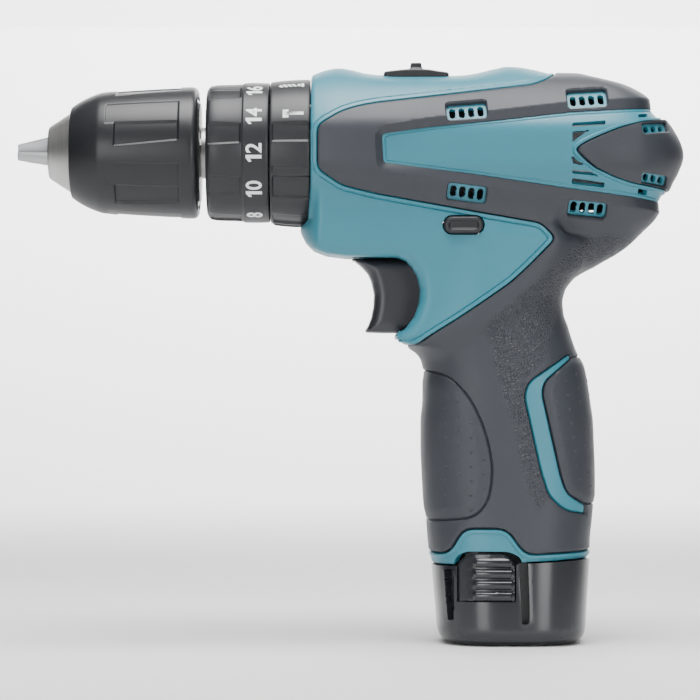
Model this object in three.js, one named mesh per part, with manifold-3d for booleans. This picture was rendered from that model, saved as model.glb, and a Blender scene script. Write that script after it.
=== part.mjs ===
// A compact cordless hammer driver drill, in millimetres.
// The chuck points along -X, +Z is up, and the origin is the middle of the battery's flat underside.
import * as THREE from 'three';
import { mergeVertices } from 'three/addons/utils/BufferGeometryUtils.js';
import Module from 'manifold-3d';

const wasm = await Module();
wasm.setup();

// ---- driving dimensions ----
const GAP = 0.3;                 // clearance between neighbouring pieces
const AXIS_Z = 155.3;            // height of the spindle axis over the battery's underside
const FRONT_X = -66.8;           // front face of the housing
const REAR_X = 50.7;             // rearmost point of the housing
const BARREL_HALF_WIDTH = 26.5;
const GRIP_HALF_WIDTH = 22.4;
const FOOT_HALF_WIDTH = 24.0;
const FOOT_Z = 25.0;             // where the handle ends and the battery begins
const WALL = 3.0;                // housing wall
const RUBBER = 1.5;              // depth that the overmould sinks into the housing
const RUBBER_PROUD = 0.3;        // height that the overmould stands over the housing

const GEAR_MODULE = 0.8;
const SUN_TEETH = 15;
const PLANET_TEETH = 12;
const RING_TEETH = SUN_TEETH + 2 * PLANET_TEETH;
const GEAR_WIDTH = 6.5;
const BACKLASH = 0.3;
const RING_OUTER_R = 18.9;
const PIN_R = 1.5;
const CARRIER_R = 14.2;
const CARRIER_WIDTH = 2.4;
const CASE_WALL = 1.8;
const SHIFT_TRAVEL = 6.0;        // travel of the speed ring between low and high

const SPINDLE_R = 6.0;
const NOSE_R = 12.5;             // outer radius of the gear case's nose
const MOTOR_R = 18.3;
const MOTOR_SHAFT_R = 1.6;

const TORQUE_RING_LENGTH = 19.8;
const TORQUE_RING_R = 22.0;
const MODE_RING_LENGTH = 12.6;
const MODE_RING_R = 23.1;
const RING_WALL = 3.2;

const CHUCK_LENGTH = 48.2;       // nose to rear face, without the jaws
const CHUCK_R = 20.9;
const CHUCK_NOSE_R = 8.2;
const SLEEVE_WALL = 2.9;
const JAW_R = 3.1;
const JAW_ANGLE = THREE.MathUtils.degToRad(13.5);
const JAW_REACH = 10.1;          // length of the jaws in front of the nose
const JAW_TIP_R = 2.75;          // outer radius of the closed jaws at their tips
const JAW_LENGTH_X = 35.4;

const CELL_R = 9.1;
const CELL_LENGTH = 65.0;
const STICK_WALL = 1.2;
const BATTERY_WALL = 2.5;
const LATCH_LENGTH = 18.7;
const LATCH_HEIGHT = 16.0;
const LATCH_TRAVEL = 2.5;
const TRIGGER_WIDTH = 20.0;
const TRIGGER_TRAVEL = 6.0;
const BUTTON_LENGTH = 12.7;      // direction button, along the barrel
const BUTTON_HEIGHT = 5.7;
const SCREW_R = 1.3;
const SCREW_HEAD_R = 2.7;
const BOSS_R = 3.4;

// ---- materials ----
const finish = (color, roughness, metalness) => new THREE.MeshStandardMaterial({ color, roughness, metalness });
const TEAL = finish(0x5b96a6, 0.5, 0);
const RUBBER_GREY = finish(0x3f424b, 0.85, 0);
const BLACK = finish(0x26272b, 0.45, 0);
const STEEL = finish(0x9c9ea2, 0.35, 1);
const DARK_STEEL = finish(0x55585c, 0.45, 1);
const ZINC = finish(0xb4b6b4, 0.4, 1);
const NYLON = finish(0xd9d6cb, 0.6, 0);
const CELL_WRAP = finish(0x3c6f9d, 0.5, 0);
const CLEAR = finish(0xeaf2f5, 0.1, 0);

// ---- solids ----
const model = new THREE.Group();

function solidOf(geometry) {
  const bare = geometry.clone();
  bare.deleteAttribute('normal');
  bare.deleteAttribute('uv');
  const merged = mergeVertices(bare, 1e-4);
  const place = merged.getAttribute('position').array;
  const index = merged.index.array;
  const corners = [];
  let volume = 0;
  for (let i = 0; i < index.length; i += 3) {
    const [a, b, c] = [index[i], index[i + 1], index[i + 2]];
    if (a === b || b === c || a === c) continue;
    corners.push(a, b, c);
    const [p, q, r] = [a, b, c].map((k) => new THREE.Vector3().fromArray(place, 3 * k));
    volume += p.dot(q.cross(r));
  }
  if (volume < 0) corners.reverse();
  const mesh = new wasm.Mesh({
    numProp: 3,
    vertProperties: Float32Array.from(place),
    triVerts: Uint32Array.from(corners),
  });
  return new wasm.Manifold(mesh);
}

function geometryOf(solid) {
  const mesh = solid.getMesh();
  const geometry = new THREE.BufferGeometry();
  geometry.setAttribute('position', new THREE.BufferAttribute(Float32Array.from(mesh.vertProperties), 3));
  geometry.setIndex(Array.from(mesh.triVerts));
  geometry.computeVertexNormals();
  return geometry;
}

function add(name, solid, material) {
  const mesh = new THREE.Mesh(geometryOf(solid), material);
  mesh.name = name;
  model.add(mesh);
}

const block = (x0, x1, y0, y1, z0, z1) => {
  const box = new THREE.BoxGeometry(x1 - x0, y1 - y0, z1 - z0);
  return solidOf(box.translate((x0 + x1) / 2, (y0 + y1) / 2, (z0 + z1) / 2));
};

// A solid turned about the spindle axis; the profile is a closed list of [x, radius].
function turned(profile, sides = 24) {
  const points = [...profile, profile[0]].map(([x, r]) => new THREE.Vector2(r, x));
  const lathe = new THREE.LatheGeometry(points, sides);
  return solidOf(lathe.rotateZ(-Math.PI / 2).translate(0, 0, AXIS_Z));
}

const disc = (x0, x1, r, sides = 24) => {
  const round = new THREE.CylinderGeometry(r, r, x1 - x0, sides);
  return solidOf(round.rotateZ(-Math.PI / 2).translate((x0 + x1) / 2, 0, AXIS_Z));
};

const tube = (x0, x1, inner, outer, sides = 24) => turned([[x0, inner], [x1, inner], [x1, outer], [x0, outer]], sides);

// A round bar from one point to another.
function bar(from, to, r, sides = 16) {
  const [a, b] = [new THREE.Vector3(...from), new THREE.Vector3(...to)];
  const along = b.clone().sub(a);
  const round = new THREE.CylinderGeometry(r, r, along.length(), sides);
  const turn = new THREE.Quaternion().setFromUnitVectors(new THREE.Vector3(0, 1, 0), along.normalize());
  round.applyQuaternion(turn).translate(...a.add(b).multiplyScalar(0.5).toArray());
  return solidOf(round);
}

// A side outline of [x, z] points carried across from y0 to y1.
function prism(outline, y0, y1) {
  const shape = new THREE.Shape(outline.map(([x, z]) => new THREE.Vector2(x, z)));
  const plate = new THREE.ExtrudeGeometry(shape, { depth: y1 - y0, bevelEnabled: false });
  return solidOf(plate.rotateX(Math.PI / 2).translate(0, y1, 0));
}

// An outline drawn across the spindle axis, carried along it.
function crossPrism(outline, holes, x0, x1) {
  const shape = new THREE.Shape(outline);
  shape.holes = holes.map((hole) => new THREE.Path(hole));
  const plate = new THREE.ExtrudeGeometry(shape, { depth: x1 - x0, bevelEnabled: false, curveSegments: 8 });
  return solidOf(plate.rotateY(Math.PI / 2).translate(x0, 0, 0));
}

// A skin drawn through rounded sections; each station gives the point of its section at an angle.
function loft(stations, sides) {
  const grid = new THREE.CylinderGeometry(1, 1, 1, sides, stations.length - 1);
  const place = grid.getAttribute('position');
  for (let i = 0; i < place.count; i += 1) {
    const step = Math.round((place.getY(i) + 0.5) * (stations.length - 1));
    const reach = Math.hypot(place.getX(i), place.getZ(i));
    const angle = Math.atan2(place.getZ(i), place.getX(i));
    place.setXYZ(i, ...stations[step](angle, reach));
  }
  return solidOf(grid);
}

// Rounded-square sections: 2 gives an ellipse, more gives squarer corners.
const bulge = (value, power) => (Math.abs(value) < 1e-9 ? 0 : Math.sign(value) * Math.abs(value) ** (2 / power));
const mirrored = (solid) => solid.mirror([0, 1, 0]);

function inset(points, distance) {
  return points.map((point, i) => {
    const before = points[(i + points.length - 1) % points.length];
    const after = points[(i + 1) % points.length];
    const [ax, az] = [point[0] - before[0], point[1] - before[1]];
    const [bx, bz] = [after[0] - point[0], after[1] - point[1]];
    const [la, lb] = [Math.hypot(ax, az), Math.hypot(bx, bz)];
    const normal = [-(az / la + bz / lb), ax / la + bx / lb];
    const scale = distance / (1 + (ax * bx + az * bz) / (la * lb));
    return [point[0] + normal[0] * scale, point[1] + normal[1] * scale];
  });
}

// ---- stations of the housing ----
// Barrel: [x, height over the axis, depth under it, half width].
const barrelStations = [
  [FRONT_X, 24.9, 21.8, 23.6],
  [FRONT_X + 7, 27.7, 24.0, BARREL_HALF_WIDTH - 1.0],
  [FRONT_X + 20, 25.2, 26.0, BARREL_HALF_WIDTH - 0.2],
  [REAR_X - 66.5, 25.1, 28.0, BARREL_HALF_WIDTH],
  [REAR_X - 55.1, 28.5, 29.5, BARREL_HALF_WIDTH],
  [REAR_X - 42.0, 25.6, 33.0, BARREL_HALF_WIDTH],
  [REAR_X - 28.7, 24.6, 36.5, BARREL_HALF_WIDTH - 0.4],
  [REAR_X - 17.1, 22.5, 32.6, BARREL_HALF_WIDTH - 2.0],
  [REAR_X - 9.5, 19.1, 25.3, BARREL_HALF_WIDTH - 5.0],
  [REAR_X - 4.0, 10.4, 15.5, BARREL_HALF_WIDTH - 10.0],
  [REAR_X, 2.0, 5.0, BARREL_HALF_WIDTH - 19.0],
];

// Handle: [z, front x, rear x, half width]; the straight grip lies between the two groups.
const handleStations = [
  [FOOT_Z, -28.6, 21.4, FOOT_HALF_WIDTH],
  [FOOT_Z + 8, -29.2, 21.3, FOOT_HALF_WIDTH],
  [FOOT_Z + 25, -30.7, 22.5, GRIP_HALF_WIDTH],
  [AXIS_Z - 78, -30.5, 21.4, GRIP_HALF_WIDTH],
  [AXIS_Z - 67, -31.2, 18.9, GRIP_HALF_WIDTH - 0.4],
  [AXIS_Z - 57, -38.4, 15.0, GRIP_HALF_WIDTH - 1.2],
  [AXIS_Z - 46, -34.0, 13.2, GRIP_HALF_WIDTH - 1.6],
  [AXIS_Z - 36.4, -38.0, 24.6, GRIP_HALF_WIDTH - 0.8],
  [AXIS_Z - 33.6, -56.0, 30.5, GRIP_HALF_WIDTH],
  [AXIS_Z - 29, -67.0, 36.0, GRIP_HALF_WIDTH],
  [AXIS_Z - 24.3, -70.3, 38.0, GRIP_HALF_WIDTH + 0.6],
  [AXIS_Z - 21.8, -66.6, 38.0, GRIP_HALF_WIDTH + 0.2],
  [AXIS_Z - 12, -60.0, 34.0, GRIP_HALF_WIDTH - 2.0],
];

const BARREL_SIDES = 16;
const HANDLE_SIDES = 16;

function barrel(offset) {
  const last = barrelStations.length - 1;
  return loft(barrelStations.map(([x, up, down, half], i) => {
    const shift = (i === 0 ? -offset : 0) + (i >= last - 2 ? offset : 0);
    const [high, low] = [Math.max(up + offset, 0.8), Math.max(down + offset, 0.8)];
    const wide = Math.max(half + offset, 0.8);
    return (angle, reach) => [
      x + shift,
      reach * wide * bulge(Math.cos(angle), 2.3),
      AXIS_Z + (high - low) / 2 + reach * (high + low) / 2 * bulge(Math.sin(angle), 2.3),
    ];
  }), BARREL_SIDES);
}

function handle(offset, floor) {
  return loft(handleStations.map(([z, front, rear, half], i) => {
    const [middle, long] = [(front + rear) / 2, (rear - front) / 2 + offset];
    return (angle, reach) => [
      middle + reach * long * bulge(Math.cos(angle), 3.2),
      reach * (half + offset) * bulge(Math.sin(angle), 3.2),
      i === 0 ? floor : z,
    ];
  }), HANDLE_SIDES);
}

const body = (offset, floor) => barrel(offset).add(handle(offset, floor));

// Side outlines of the overmould, as [x, height from the axis].
const FAR = 70;
const overAxis = (points) => points.map(([x, z]) => [x, AXIS_Z + z]);
const rubberOutline = [
  ...overAxis([[-64.7, 7.0], [-57.1, 11.8], [-46.3, 14.5], [-25.4, 17.0], [2.9, 20.5], [11.1, 25.0], [11.4, 40]]),
  ...overAxis([[FAR, 40], [FAR, 13.9], [42.5, 14.1], [13.6, 12.2], [-30.4, 6.8], [-44.6, 4.5]]),
  ...overAxis([[-44.1, -4.7], [13.6, -13.0], [46.6, -17.1], [FAR, -17.8]]),
  [FAR, FOOT_Z + 5.2],
  [-FAR, FOOT_Z + 5.2],
  ...overAxis([[-FAR, -62], [-34.2, -61], [-29.8, -59.9], [9.8, -27.9], [5.1, -23.1]]),
  ...overAxis([[-15.5, -19.6], [-46.9, -13.9], [-57.1, -11.4], [-64.7, -6.3]]),
];
const rearPadOutline = overAxis([
  [15.5, -0.3], [36.8, 8.9], [46.6, 10.5], [FAR, 10.7], [FAR, -13.0], [48.2, -13.0], [34.2, -11.1], [21.9, -6.3],
]);

// ---- places along the spindle axis ----
const MODE_X = FRONT_X - GAP;                              // rear face of the mode ring
const TORQUE_X = MODE_X - MODE_RING_LENGTH - GAP;          // rear face of the torque ring
const RINGS_FRONT = TORQUE_X - TORQUE_RING_LENGTH;
const CHUCK_REAR = RINGS_FRONT - 2.2;
const CHUCK_NOSE = CHUCK_REAR - CHUCK_LENGTH;
const JAW_TIP = CHUCK_NOSE - JAW_REACH;
const CASE_FRONT = FRONT_X + 4.8;                          // where the gear case steps down to its nose
const OUTPUT_X = CASE_FRONT + 3.6;                         // output carrier's front face
const STAGE_3 = OUTPUT_X + CARRIER_WIDTH + GAP;
const CARRIER_2_X = STAGE_3 + GEAR_WIDTH + GAP;
const STAGE_2 = CARRIER_2_X + CARRIER_WIDTH + GAP;
const CARRIER_1_X = STAGE_2 + GEAR_WIDTH + GAP;
const STAGE_1 = STAGE_2 + GEAR_WIDTH + SHIFT_TRAVEL + GAP;
const CASE_REAR = STAGE_1 + GEAR_WIDTH + GAP;
const PLATE_X = CASE_REAR + GAP;
const CAN_FRONT = PLATE_X + 2.2 + GAP;
const CAN_REAR = REAR_X - 20.4;
const CAP_REAR = CAN_REAR + 7.5;

// ---- gears ----
const PLANET_ORBIT = GEAR_MODULE * (SUN_TEETH + PLANET_TEETH) / 2;
const PRESSURE = Math.tan(THREE.MathUtils.degToRad(20));

// Straight-sided teeth; an inner gear's teeth point towards the axis.
function gearPoints(teeth, inner, phase, y = 0, z = 0) {
  const pitchR = GEAR_MODULE * teeth / 2;
  const side = inner ? -1 : 1;
  const tipR = pitchR + side * 0.72 * GEAR_MODULE;
  const rootR = pitchR - side * 1.05 * GEAR_MODULE;
  const halfTooth = (Math.PI * GEAR_MODULE / 2 - BACKLASH) / 2;
  const half = (r) => (halfTooth - side * (r - pitchR) * PRESSURE) / r;
  const points = [];
  for (let k = 0; k < teeth; k += 1) {
    const middle = (k + phase) * 2 * Math.PI / teeth;
    for (const [r, turn] of [[rootR, -half(rootR)], [tipR, -half(tipR)], [tipR, half(tipR)], [rootR, half(rootR)]]) {
      points.push(new THREE.Vector2(-(z + r * Math.sin(middle + turn)), y + r * Math.cos(middle + turn)));
    }
  }
  return points;
}

const ringOf = (r, count, y = 0, z = 0) => Array.from({ length: count }, (_, k) => {
  const angle = k * 2 * Math.PI / count;
  return new THREE.Vector2(-(z + r * Math.sin(angle)), y + r * Math.cos(angle));
});

const upToAxis = (solid) => solid.translate([0, 0, AXIS_Z]);
const ringGear = (x0) => upToAxis(
  crossPrism(ringOf(RING_OUTER_R, 20), [gearPoints(RING_TEETH, true, 0.5)], x0, x0 + GEAR_WIDTH));
const sun = (x0, x1) => upToAxis(crossPrism(gearPoints(SUN_TEETH, false, 0.5), [], x0, x1));

const thirds = [0, 1, 2].map((k) => k * 2 * Math.PI / 3);

// The tooth nearest the ring points straight out, where the sun and the ring each have a space.
function planet(angle, x0) {
  const [y, z] = [PLANET_ORBIT * Math.cos(angle), PLANET_ORBIT * Math.sin(angle)];
  const phase = angle * PLANET_TEETH / (2 * Math.PI);
  const outline = gearPoints(PLANET_TEETH, false, phase, y, z);
  return upToAxis(crossPrism(outline, [ringOf(PIN_R + GAP, 9, y, z)], x0, x0 + GEAR_WIDTH));
}

const pins = (x0, x1) => thirds.map((angle) => {
  const [y, z] = [PLANET_ORBIT * Math.cos(angle), AXIS_Z + PLANET_ORBIT * Math.sin(angle)];
  return bar([x0, y, z], [x1, y, z], PIN_R, 10);
});

const turnAboutAxis = (solid, angle) =>
  solid.translate([0, 0, -AXIS_Z]).rotate([THREE.MathUtils.radToDeg(angle), 0, 0]).translate([0, 0, AXIS_Z]);

function addStage(number, x0) {
  thirds.forEach((angle, k) => add(`planet_${number}${'abc'[k]}`, planet(angle, x0), STEEL));
}

// Plate, pins for its own planets, and the sun of the next stage on its front.
function carrier(plateX, pinsEnd, sunFront) {
  const plate = disc(plateX, plateX + CARRIER_WIDTH, CARRIER_R, 18);
  const withPins = pins(plateX + 1, pinsEnd).reduce((all, pin) => all.add(pin), plate);
  return withPins.add(sun(sunFront, plateX + 1));
}

function addGearTrain() {
  add('ring_gear_3', ringGear(STAGE_3), DARK_STEEL);
  add('speed_ring', ringGear(STAGE_2), STEEL);
  add('ring_gear_1', ringGear(STAGE_1), DARK_STEEL);
  addStage(3, STAGE_3);
  addStage(2, STAGE_2);
  addStage(1, STAGE_1);
  const output = tube(OUTPUT_X, OUTPUT_X + CARRIER_WIDTH, SPINDLE_R - 1 + GAP, CARRIER_R, 18);
  add('output_carrier', pins(OUTPUT_X + 1, STAGE_3 + GEAR_WIDTH).reduce((all, pin) => all.add(pin), output), STEEL);
  add('carrier_2', carrier(CARRIER_2_X, STAGE_2 + GEAR_WIDTH, STAGE_3), STEEL);
  add('carrier_1', carrier(CARRIER_1_X, STAGE_1 + GEAR_WIDTH, STAGE_2), STEEL);
}

// ---- gear case and its nose ----
const CASE_INNER = RING_OUTER_R + GAP;
const CASE_OUTER = CASE_INNER + CASE_WALL;
const NOSE_END = RINGS_FRONT + 2.8;
const BEARING_OUTER = 9.8;
const FORK_X = STAGE_2 + 2.5;
const FORK_WIDTH = 3.6;

function addGearCase() {
  const noseInner = BEARING_OUTER + GAP;
  const shell = turned([
    [NOSE_END, noseInner], [CASE_FRONT + 1.6, noseInner], [CASE_FRONT + 1.6, CASE_INNER], [CASE_REAR, CASE_INNER],
    [CASE_REAR, CASE_OUTER], [CASE_FRONT, CASE_OUTER], [CASE_FRONT, NOSE_R], [NOSE_END, NOSE_R],
  ], 28);
  const slot = block(FORK_X - GAP, FORK_X + FORK_WIDTH + SHIFT_TRAVEL + GAP, -4, 4, AXIS_Z + 10, AXIS_Z + 30);
  add('gear_case', shell.subtract(slot), ZINC);
  add('spindle_bearing', tube(NOSE_END + 1, NOSE_END + 8, SPINDLE_R + GAP, BEARING_OUTER, 24), STEEL);
}

// ---- torque ring, mode ring and clutch ----
const CLUTCH_TRAVEL = 6.0;
const NUT_FRONT = TORQUE_X - TORQUE_RING_LENGTH + 10.4;
const NUT_WIDTH = 2.8;
const TORQUE_INNER = TORQUE_RING_R - RING_WALL;
const MODE_INNER = MODE_RING_R - RING_WALL;

function addRings() {
  const flangeInner = SPINDLE_R + 2.7;
  const flange = NOSE_END - GAP;
  add('torque_ring', turned([
    [RINGS_FRONT, flangeInner], [flange, flangeInner], [flange, TORQUE_INNER], [TORQUE_X, TORQUE_INNER],
    [TORQUE_X, TORQUE_RING_R + 0.2], [RINGS_FRONT + 1, TORQUE_RING_R - 0.8], [RINGS_FRONT, TORQUE_RING_R - 1.6],
  ], 28), BLACK);
  add('mode_ring', turned([
    [MODE_X - MODE_RING_LENGTH, MODE_INNER], [MODE_X, MODE_INNER], [MODE_X, MODE_RING_R],
    [MODE_X - 1, MODE_RING_R + 0.2], [MODE_X - MODE_RING_LENGTH + 1, MODE_RING_R - 0.1],
    [MODE_X - MODE_RING_LENGTH, MODE_RING_R - 0.6],
  ], 28), BLACK);
  add('clutch_nut', tube(NUT_FRONT, NUT_FRONT + NUT_WIDTH, NOSE_R + GAP, TORQUE_INNER - GAP, 24), ZINC);
}

function addClutchSpring() {
  const wire = 1.1;
  const turns = 5;
  const coilR = NOSE_R + GAP + wire + 1.2;
  const start = NUT_FRONT + NUT_WIDTH + wire + GAP;
  const end = CASE_FRONT - wire - GAP;
  class Helix extends THREE.Curve {
    getPoint(t, target = new THREE.Vector3()) {
      const angle = t * turns * 2 * Math.PI;
      const x = start + t * (end - start);
      return target.set(x, coilR * Math.cos(angle), AXIS_Z + coilR * Math.sin(angle));
    }
  }
  const section = new THREE.Shape(Array.from({ length: 5 }, (_, k) =>
    new THREE.Vector2(wire * Math.cos(k * Math.PI / 2.5), wire * Math.sin(k * Math.PI / 2.5))));
  const coil = new THREE.ExtrudeGeometry(section, { steps: turns * 9, extrudePath: new Helix(), bevelEnabled: false });
  add('clutch_spring', solidOf(coil), STEEL);
}

// ---- spindle and chuck ----
const SPINDLE_END = CHUCK_REAR - 9.2;
const WEB_X = CHUCK_REAR - 15.7;                 // front face of the wall the spindle screw clamps
const NUT_X0 = CHUCK_NOSE + 19.3;                // chuck nut
const NUT_X1 = NUT_X0 + 5;
const jawOuter = (x) => JAW_TIP_R + (x - JAW_TIP) * Math.tan(JAW_ANGLE);
const GROOVE_R = jawOuter(NUT_X1) - 0.1;
const GUIDE_R = CHUCK_R - SLEEVE_WALL - GAP * 1.5;
const THROAT_R = CHUCK_NOSE_R + 4.5;

function addSpindle() {
  const shaft = turned([
    [SPINDLE_END, 0], [STAGE_3 - 1, 0], [STAGE_3 - 1, SPINDLE_R - 1], [OUTPUT_X - GAP, SPINDLE_R - 1],
    [OUTPUT_X - GAP, SPINDLE_R], [RINGS_FRONT - GAP, SPINDLE_R], [RINGS_FRONT - GAP, SPINDLE_R + 2],
    [CHUCK_REAR + GAP, SPINDLE_R + 2], [CHUCK_REAR + GAP, SPINDLE_R], [SPINDLE_END, SPINDLE_R],
  ], 16);
  const hole = disc(SPINDLE_END - 1, SPINDLE_END + 8, 2.4 + GAP, 12);
  add('spindle', shaft.subtract(hole), STEEL);
  const head = disc(WEB_X - 3.2 - GAP, WEB_X - GAP, 4.4, 16);
  add('chuck_screw', head.add(disc(WEB_X - 1, SPINDLE_END + 6, 2.4, 12)), DARK_STEEL);
}

const jawLine = (x) => jawOuter(x) - JAW_R / Math.cos(JAW_ANGLE);

function jawRod(x0, x1, r, sides) {
  return bar([x0, 0, AXIS_Z + jawLine(x0)], [x1, 0, AXIS_Z + jawLine(x1)], r, sides);
}

function addChuck() {
  const blank = turned([
    [CHUCK_NOSE, 0], [CHUCK_REAR, 0], [CHUCK_REAR, GUIDE_R - 1.5], [CHUCK_REAR - 1.5, GUIDE_R],
    [NUT_X1 + GAP, GUIDE_R], [NUT_X1 + GAP, GROOVE_R], [NUT_X0 - GAP, GROOVE_R], [NUT_X0 - GAP, THROAT_R],
    [CHUCK_NOSE + 6.8, THROAT_R - 0.2], [CHUCK_NOSE + 0.8, CHUCK_NOSE_R + 0.3], [CHUCK_NOSE, CHUCK_NOSE_R - 0.6],
  ], 20);
  const rearBore = disc(SPINDLE_END - 0.5, CHUCK_REAR + 1, SPINDLE_R + GAP, 24);
  const screwBore = disc(WEB_X - 1, CHUCK_REAR, 2.4 + GAP, 12);
  let chuckBody = blank.subtract(rearBore).subtract(screwBore).subtract(disc(CHUCK_NOSE - 1, WEB_X, 5.3, 16));
  const rod = jawRod(JAW_TIP - 2, JAW_TIP + JAW_LENGTH_X, JAW_R, 16);
  const channel = jawRod(JAW_TIP - 2, CHUCK_REAR - 1.2, JAW_R + GAP, 12);
  const far = 40;
  const wedge = (lift) => [[0, lift], [far, lift + far / Math.tan(Math.PI / 3)], [-far, lift + far / Math.tan(Math.PI / 3)]];
  const sector = wedge(0.25).map(([y, z]) => new THREE.Vector2(-z, y));
  const flats = upToAxis(crossPrism(sector, [], JAW_TIP, 0));
  const jaw = rod.intersect(flats);
  thirds.forEach((turn, k) => {
    chuckBody = chuckBody.subtract(turnAboutAxis(channel, turn));
    add(`chuck_jaw_${k + 1}`, turnAboutAxis(jaw, turn), STEEL);
  });
  add('chuck_body', chuckBody, STEEL);
  add('chuck_nut', tube(NUT_X0, NUT_X1, jawOuter(NUT_X1) + GAP, CHUCK_R - SLEEVE_WALL - GAP, 24), DARK_STEEL);
  const inner = CHUCK_R - SLEEVE_WALL;
  add('chuck_sleeve', turned([
    [CHUCK_NOSE + 7.2, THROAT_R + GAP], [NUT_X0 - 5, THROAT_R + GAP], [NUT_X0 - 2, inner], [CHUCK_REAR - 0.6, inner],
    [CHUCK_REAR - 0.6, CHUCK_R - 1.2], [CHUCK_REAR - 2.4, CHUCK_R], [CHUCK_NOSE + 16, CHUCK_R - 1.3],
    [CHUCK_NOSE + 7.2, THROAT_R + 1.2],
  ], 28), BLACK);
}

// ---- motor ----
function addMotor() {
  const shaftEnd = CAP_REAR - 1.5;
  const plateBore = MOTOR_SHAFT_R + 5.4;
  add('motor_plate', tube(PLATE_X, PLATE_X + 2.2, plateBore, CASE_OUTER, 24), DARK_STEEL);
  const can = turned([
    [CAN_FRONT, 4], [CAN_FRONT + 1.4, 4], [CAN_FRONT + 1.4, MOTOR_R - 1], [CAN_REAR, MOTOR_R - 1], [CAN_REAR, MOTOR_R],
    [CAN_FRONT, MOTOR_R],
  ], 24);
  add('motor_can', can, ZINC);
  const cap = turned([
    [CAN_REAR + GAP, MOTOR_R - 3], [CAP_REAR - 2, MOTOR_R - 3], [CAP_REAR - 2, MOTOR_SHAFT_R + GAP],
    [CAP_REAR, MOTOR_SHAFT_R + GAP], [CAP_REAR, 8], [CAP_REAR - 3, MOTOR_R - 1], [CAN_REAR + GAP, MOTOR_R],
  ], 24);
  add('motor_end_cap', cap, BLACK);
  const pinion = sun(STAGE_1, STAGE_1 + GEAR_WIDTH);
  add('motor_shaft', pinion.add(disc(STAGE_1 + 1, shaftEnd, MOTOR_SHAFT_R, 12)), STEEL);
  const magnetInner = MOTOR_R - 3.6;
  for (const [side, name] of [[1, 'right'], [-1, 'left']]) {
    const ring = tube(CAN_FRONT + 10, CAN_REAR - 4, magnetInner, MOTOR_R - 1 - GAP, 24);
    const keep = block(CAN_FRONT, CAN_REAR, side > 0 ? 2 : -30, side > 0 ? 30 : -2, 0, AXIS_Z * 2);
    add(`motor_magnet_${name}`, ring.intersect(keep), DARK_STEEL);
  }
  const bore = MOTOR_SHAFT_R + GAP;
  add('motor_armature', turned([
    [CAN_FRONT + 11, bore], [CAN_REAR - 0.6, bore], [CAN_REAR - 0.6, 5], [CAN_REAR - 6, 5], [CAN_REAR - 6, magnetInner - 0.6],
    [CAN_FRONT + 11, magnetInner - 0.6],
  ], 20), DARK_STEEL);
  add('motor_fan', tube(CAN_FRONT + 3, CAN_FRONT + 9, bore, MOTOR_R - 2.4, 20), NYLON);
}

// ---- handle: trigger, switch, buttons ----
const TRIGGER_TOP = AXIS_Z - 34.4;
const TRIGGER_LOW = AXIS_Z - 57.6;
const SWITCH_FRONT = -23.5;
const SWITCH_REAR = 8.0;
const STEM_Z = AXIS_Z - 45;
const STEM_R = 2.4;

function addTrigger() {
  const back = SWITCH_FRONT - TRIGGER_TRAVEL - GAP;
  const outline = overAxis([
    [-54.6, -34.4], [-50.6, -37.4], [-47.9, -40.4], [-46.9, -45.3], [-47.6, -51], [-49.8, -56.7], [-44, -57.6],
    [back, -57.6], [back, -34.4],
  ]);
  const half = TRIGGER_WIDTH / 2;
  const stem = bar([back - 2, 0, STEM_Z], [SWITCH_FRONT + 6, 0, STEM_Z], STEM_R, 12);
  add('trigger', prism(outline, -half, half).add(stem), RUBBER_GREY);
  const switchBox = block(SWITCH_FRONT, SWITCH_REAR, -9, 9, TRIGGER_LOW + 1, TRIGGER_TOP - 1);
  const stemReach = SWITCH_FRONT + 6 + TRIGGER_TRAVEL + 1;
  const stemBore = bar([SWITCH_FRONT - 1, 0, STEM_Z], [stemReach, 0, STEM_Z], STEM_R + GAP, 12);
  add('switch_body', switchBox.subtract(stemBore), BLACK);
}

const BUTTON_X = -19.05;
const BUTTON_Z = AXIS_Z - 23.75;
const BUTTON_REACH = GRIP_HALF_WIDTH + 4.4;
const SELECTOR_X0 = FORK_X - 0.4;
const SELECTOR_LENGTH = 15.3;
const SELECTOR_HALF = 8.0;

function addButtons() {
  const [x0, x1] = [BUTTON_X - BUTTON_LENGTH / 2, BUTTON_X + BUTTON_LENGTH / 2];
  const [z0, z1] = [BUTTON_Z - BUTTON_HEIGHT / 2, BUTTON_Z + BUTTON_HEIGHT / 2];
  const middle = block(x0 + 1, x1 - 1, -BUTTON_REACH, BUTTON_REACH, z0, z1 - 1.2);
  const end = block(x0, x1, 16, BUTTON_REACH, z0, z1);
  add('direction_button', middle.add(end).add(mirrored(end)), BLACK);

  const top = AXIS_Z + 27.2;
  const plate = block(SELECTOR_X0, SELECTOR_X0 + SELECTOR_LENGTH, -SELECTOR_HALF, SELECTOR_HALF, top - 3, top);
  const knob = block(SELECTOR_X0 + 7, SELECTOR_X0 + 13.4, -5, 5, top - 1, top + 1.5);
  const forkLow = AXIS_Z + RING_OUTER_R + GAP;
  const fork = block(FORK_X, FORK_X + FORK_WIDTH, -3.6, 3.6, forkLow, top - 1);
  add('speed_selector', plate.add(knob).add(fork), BLACK);
}

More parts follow.
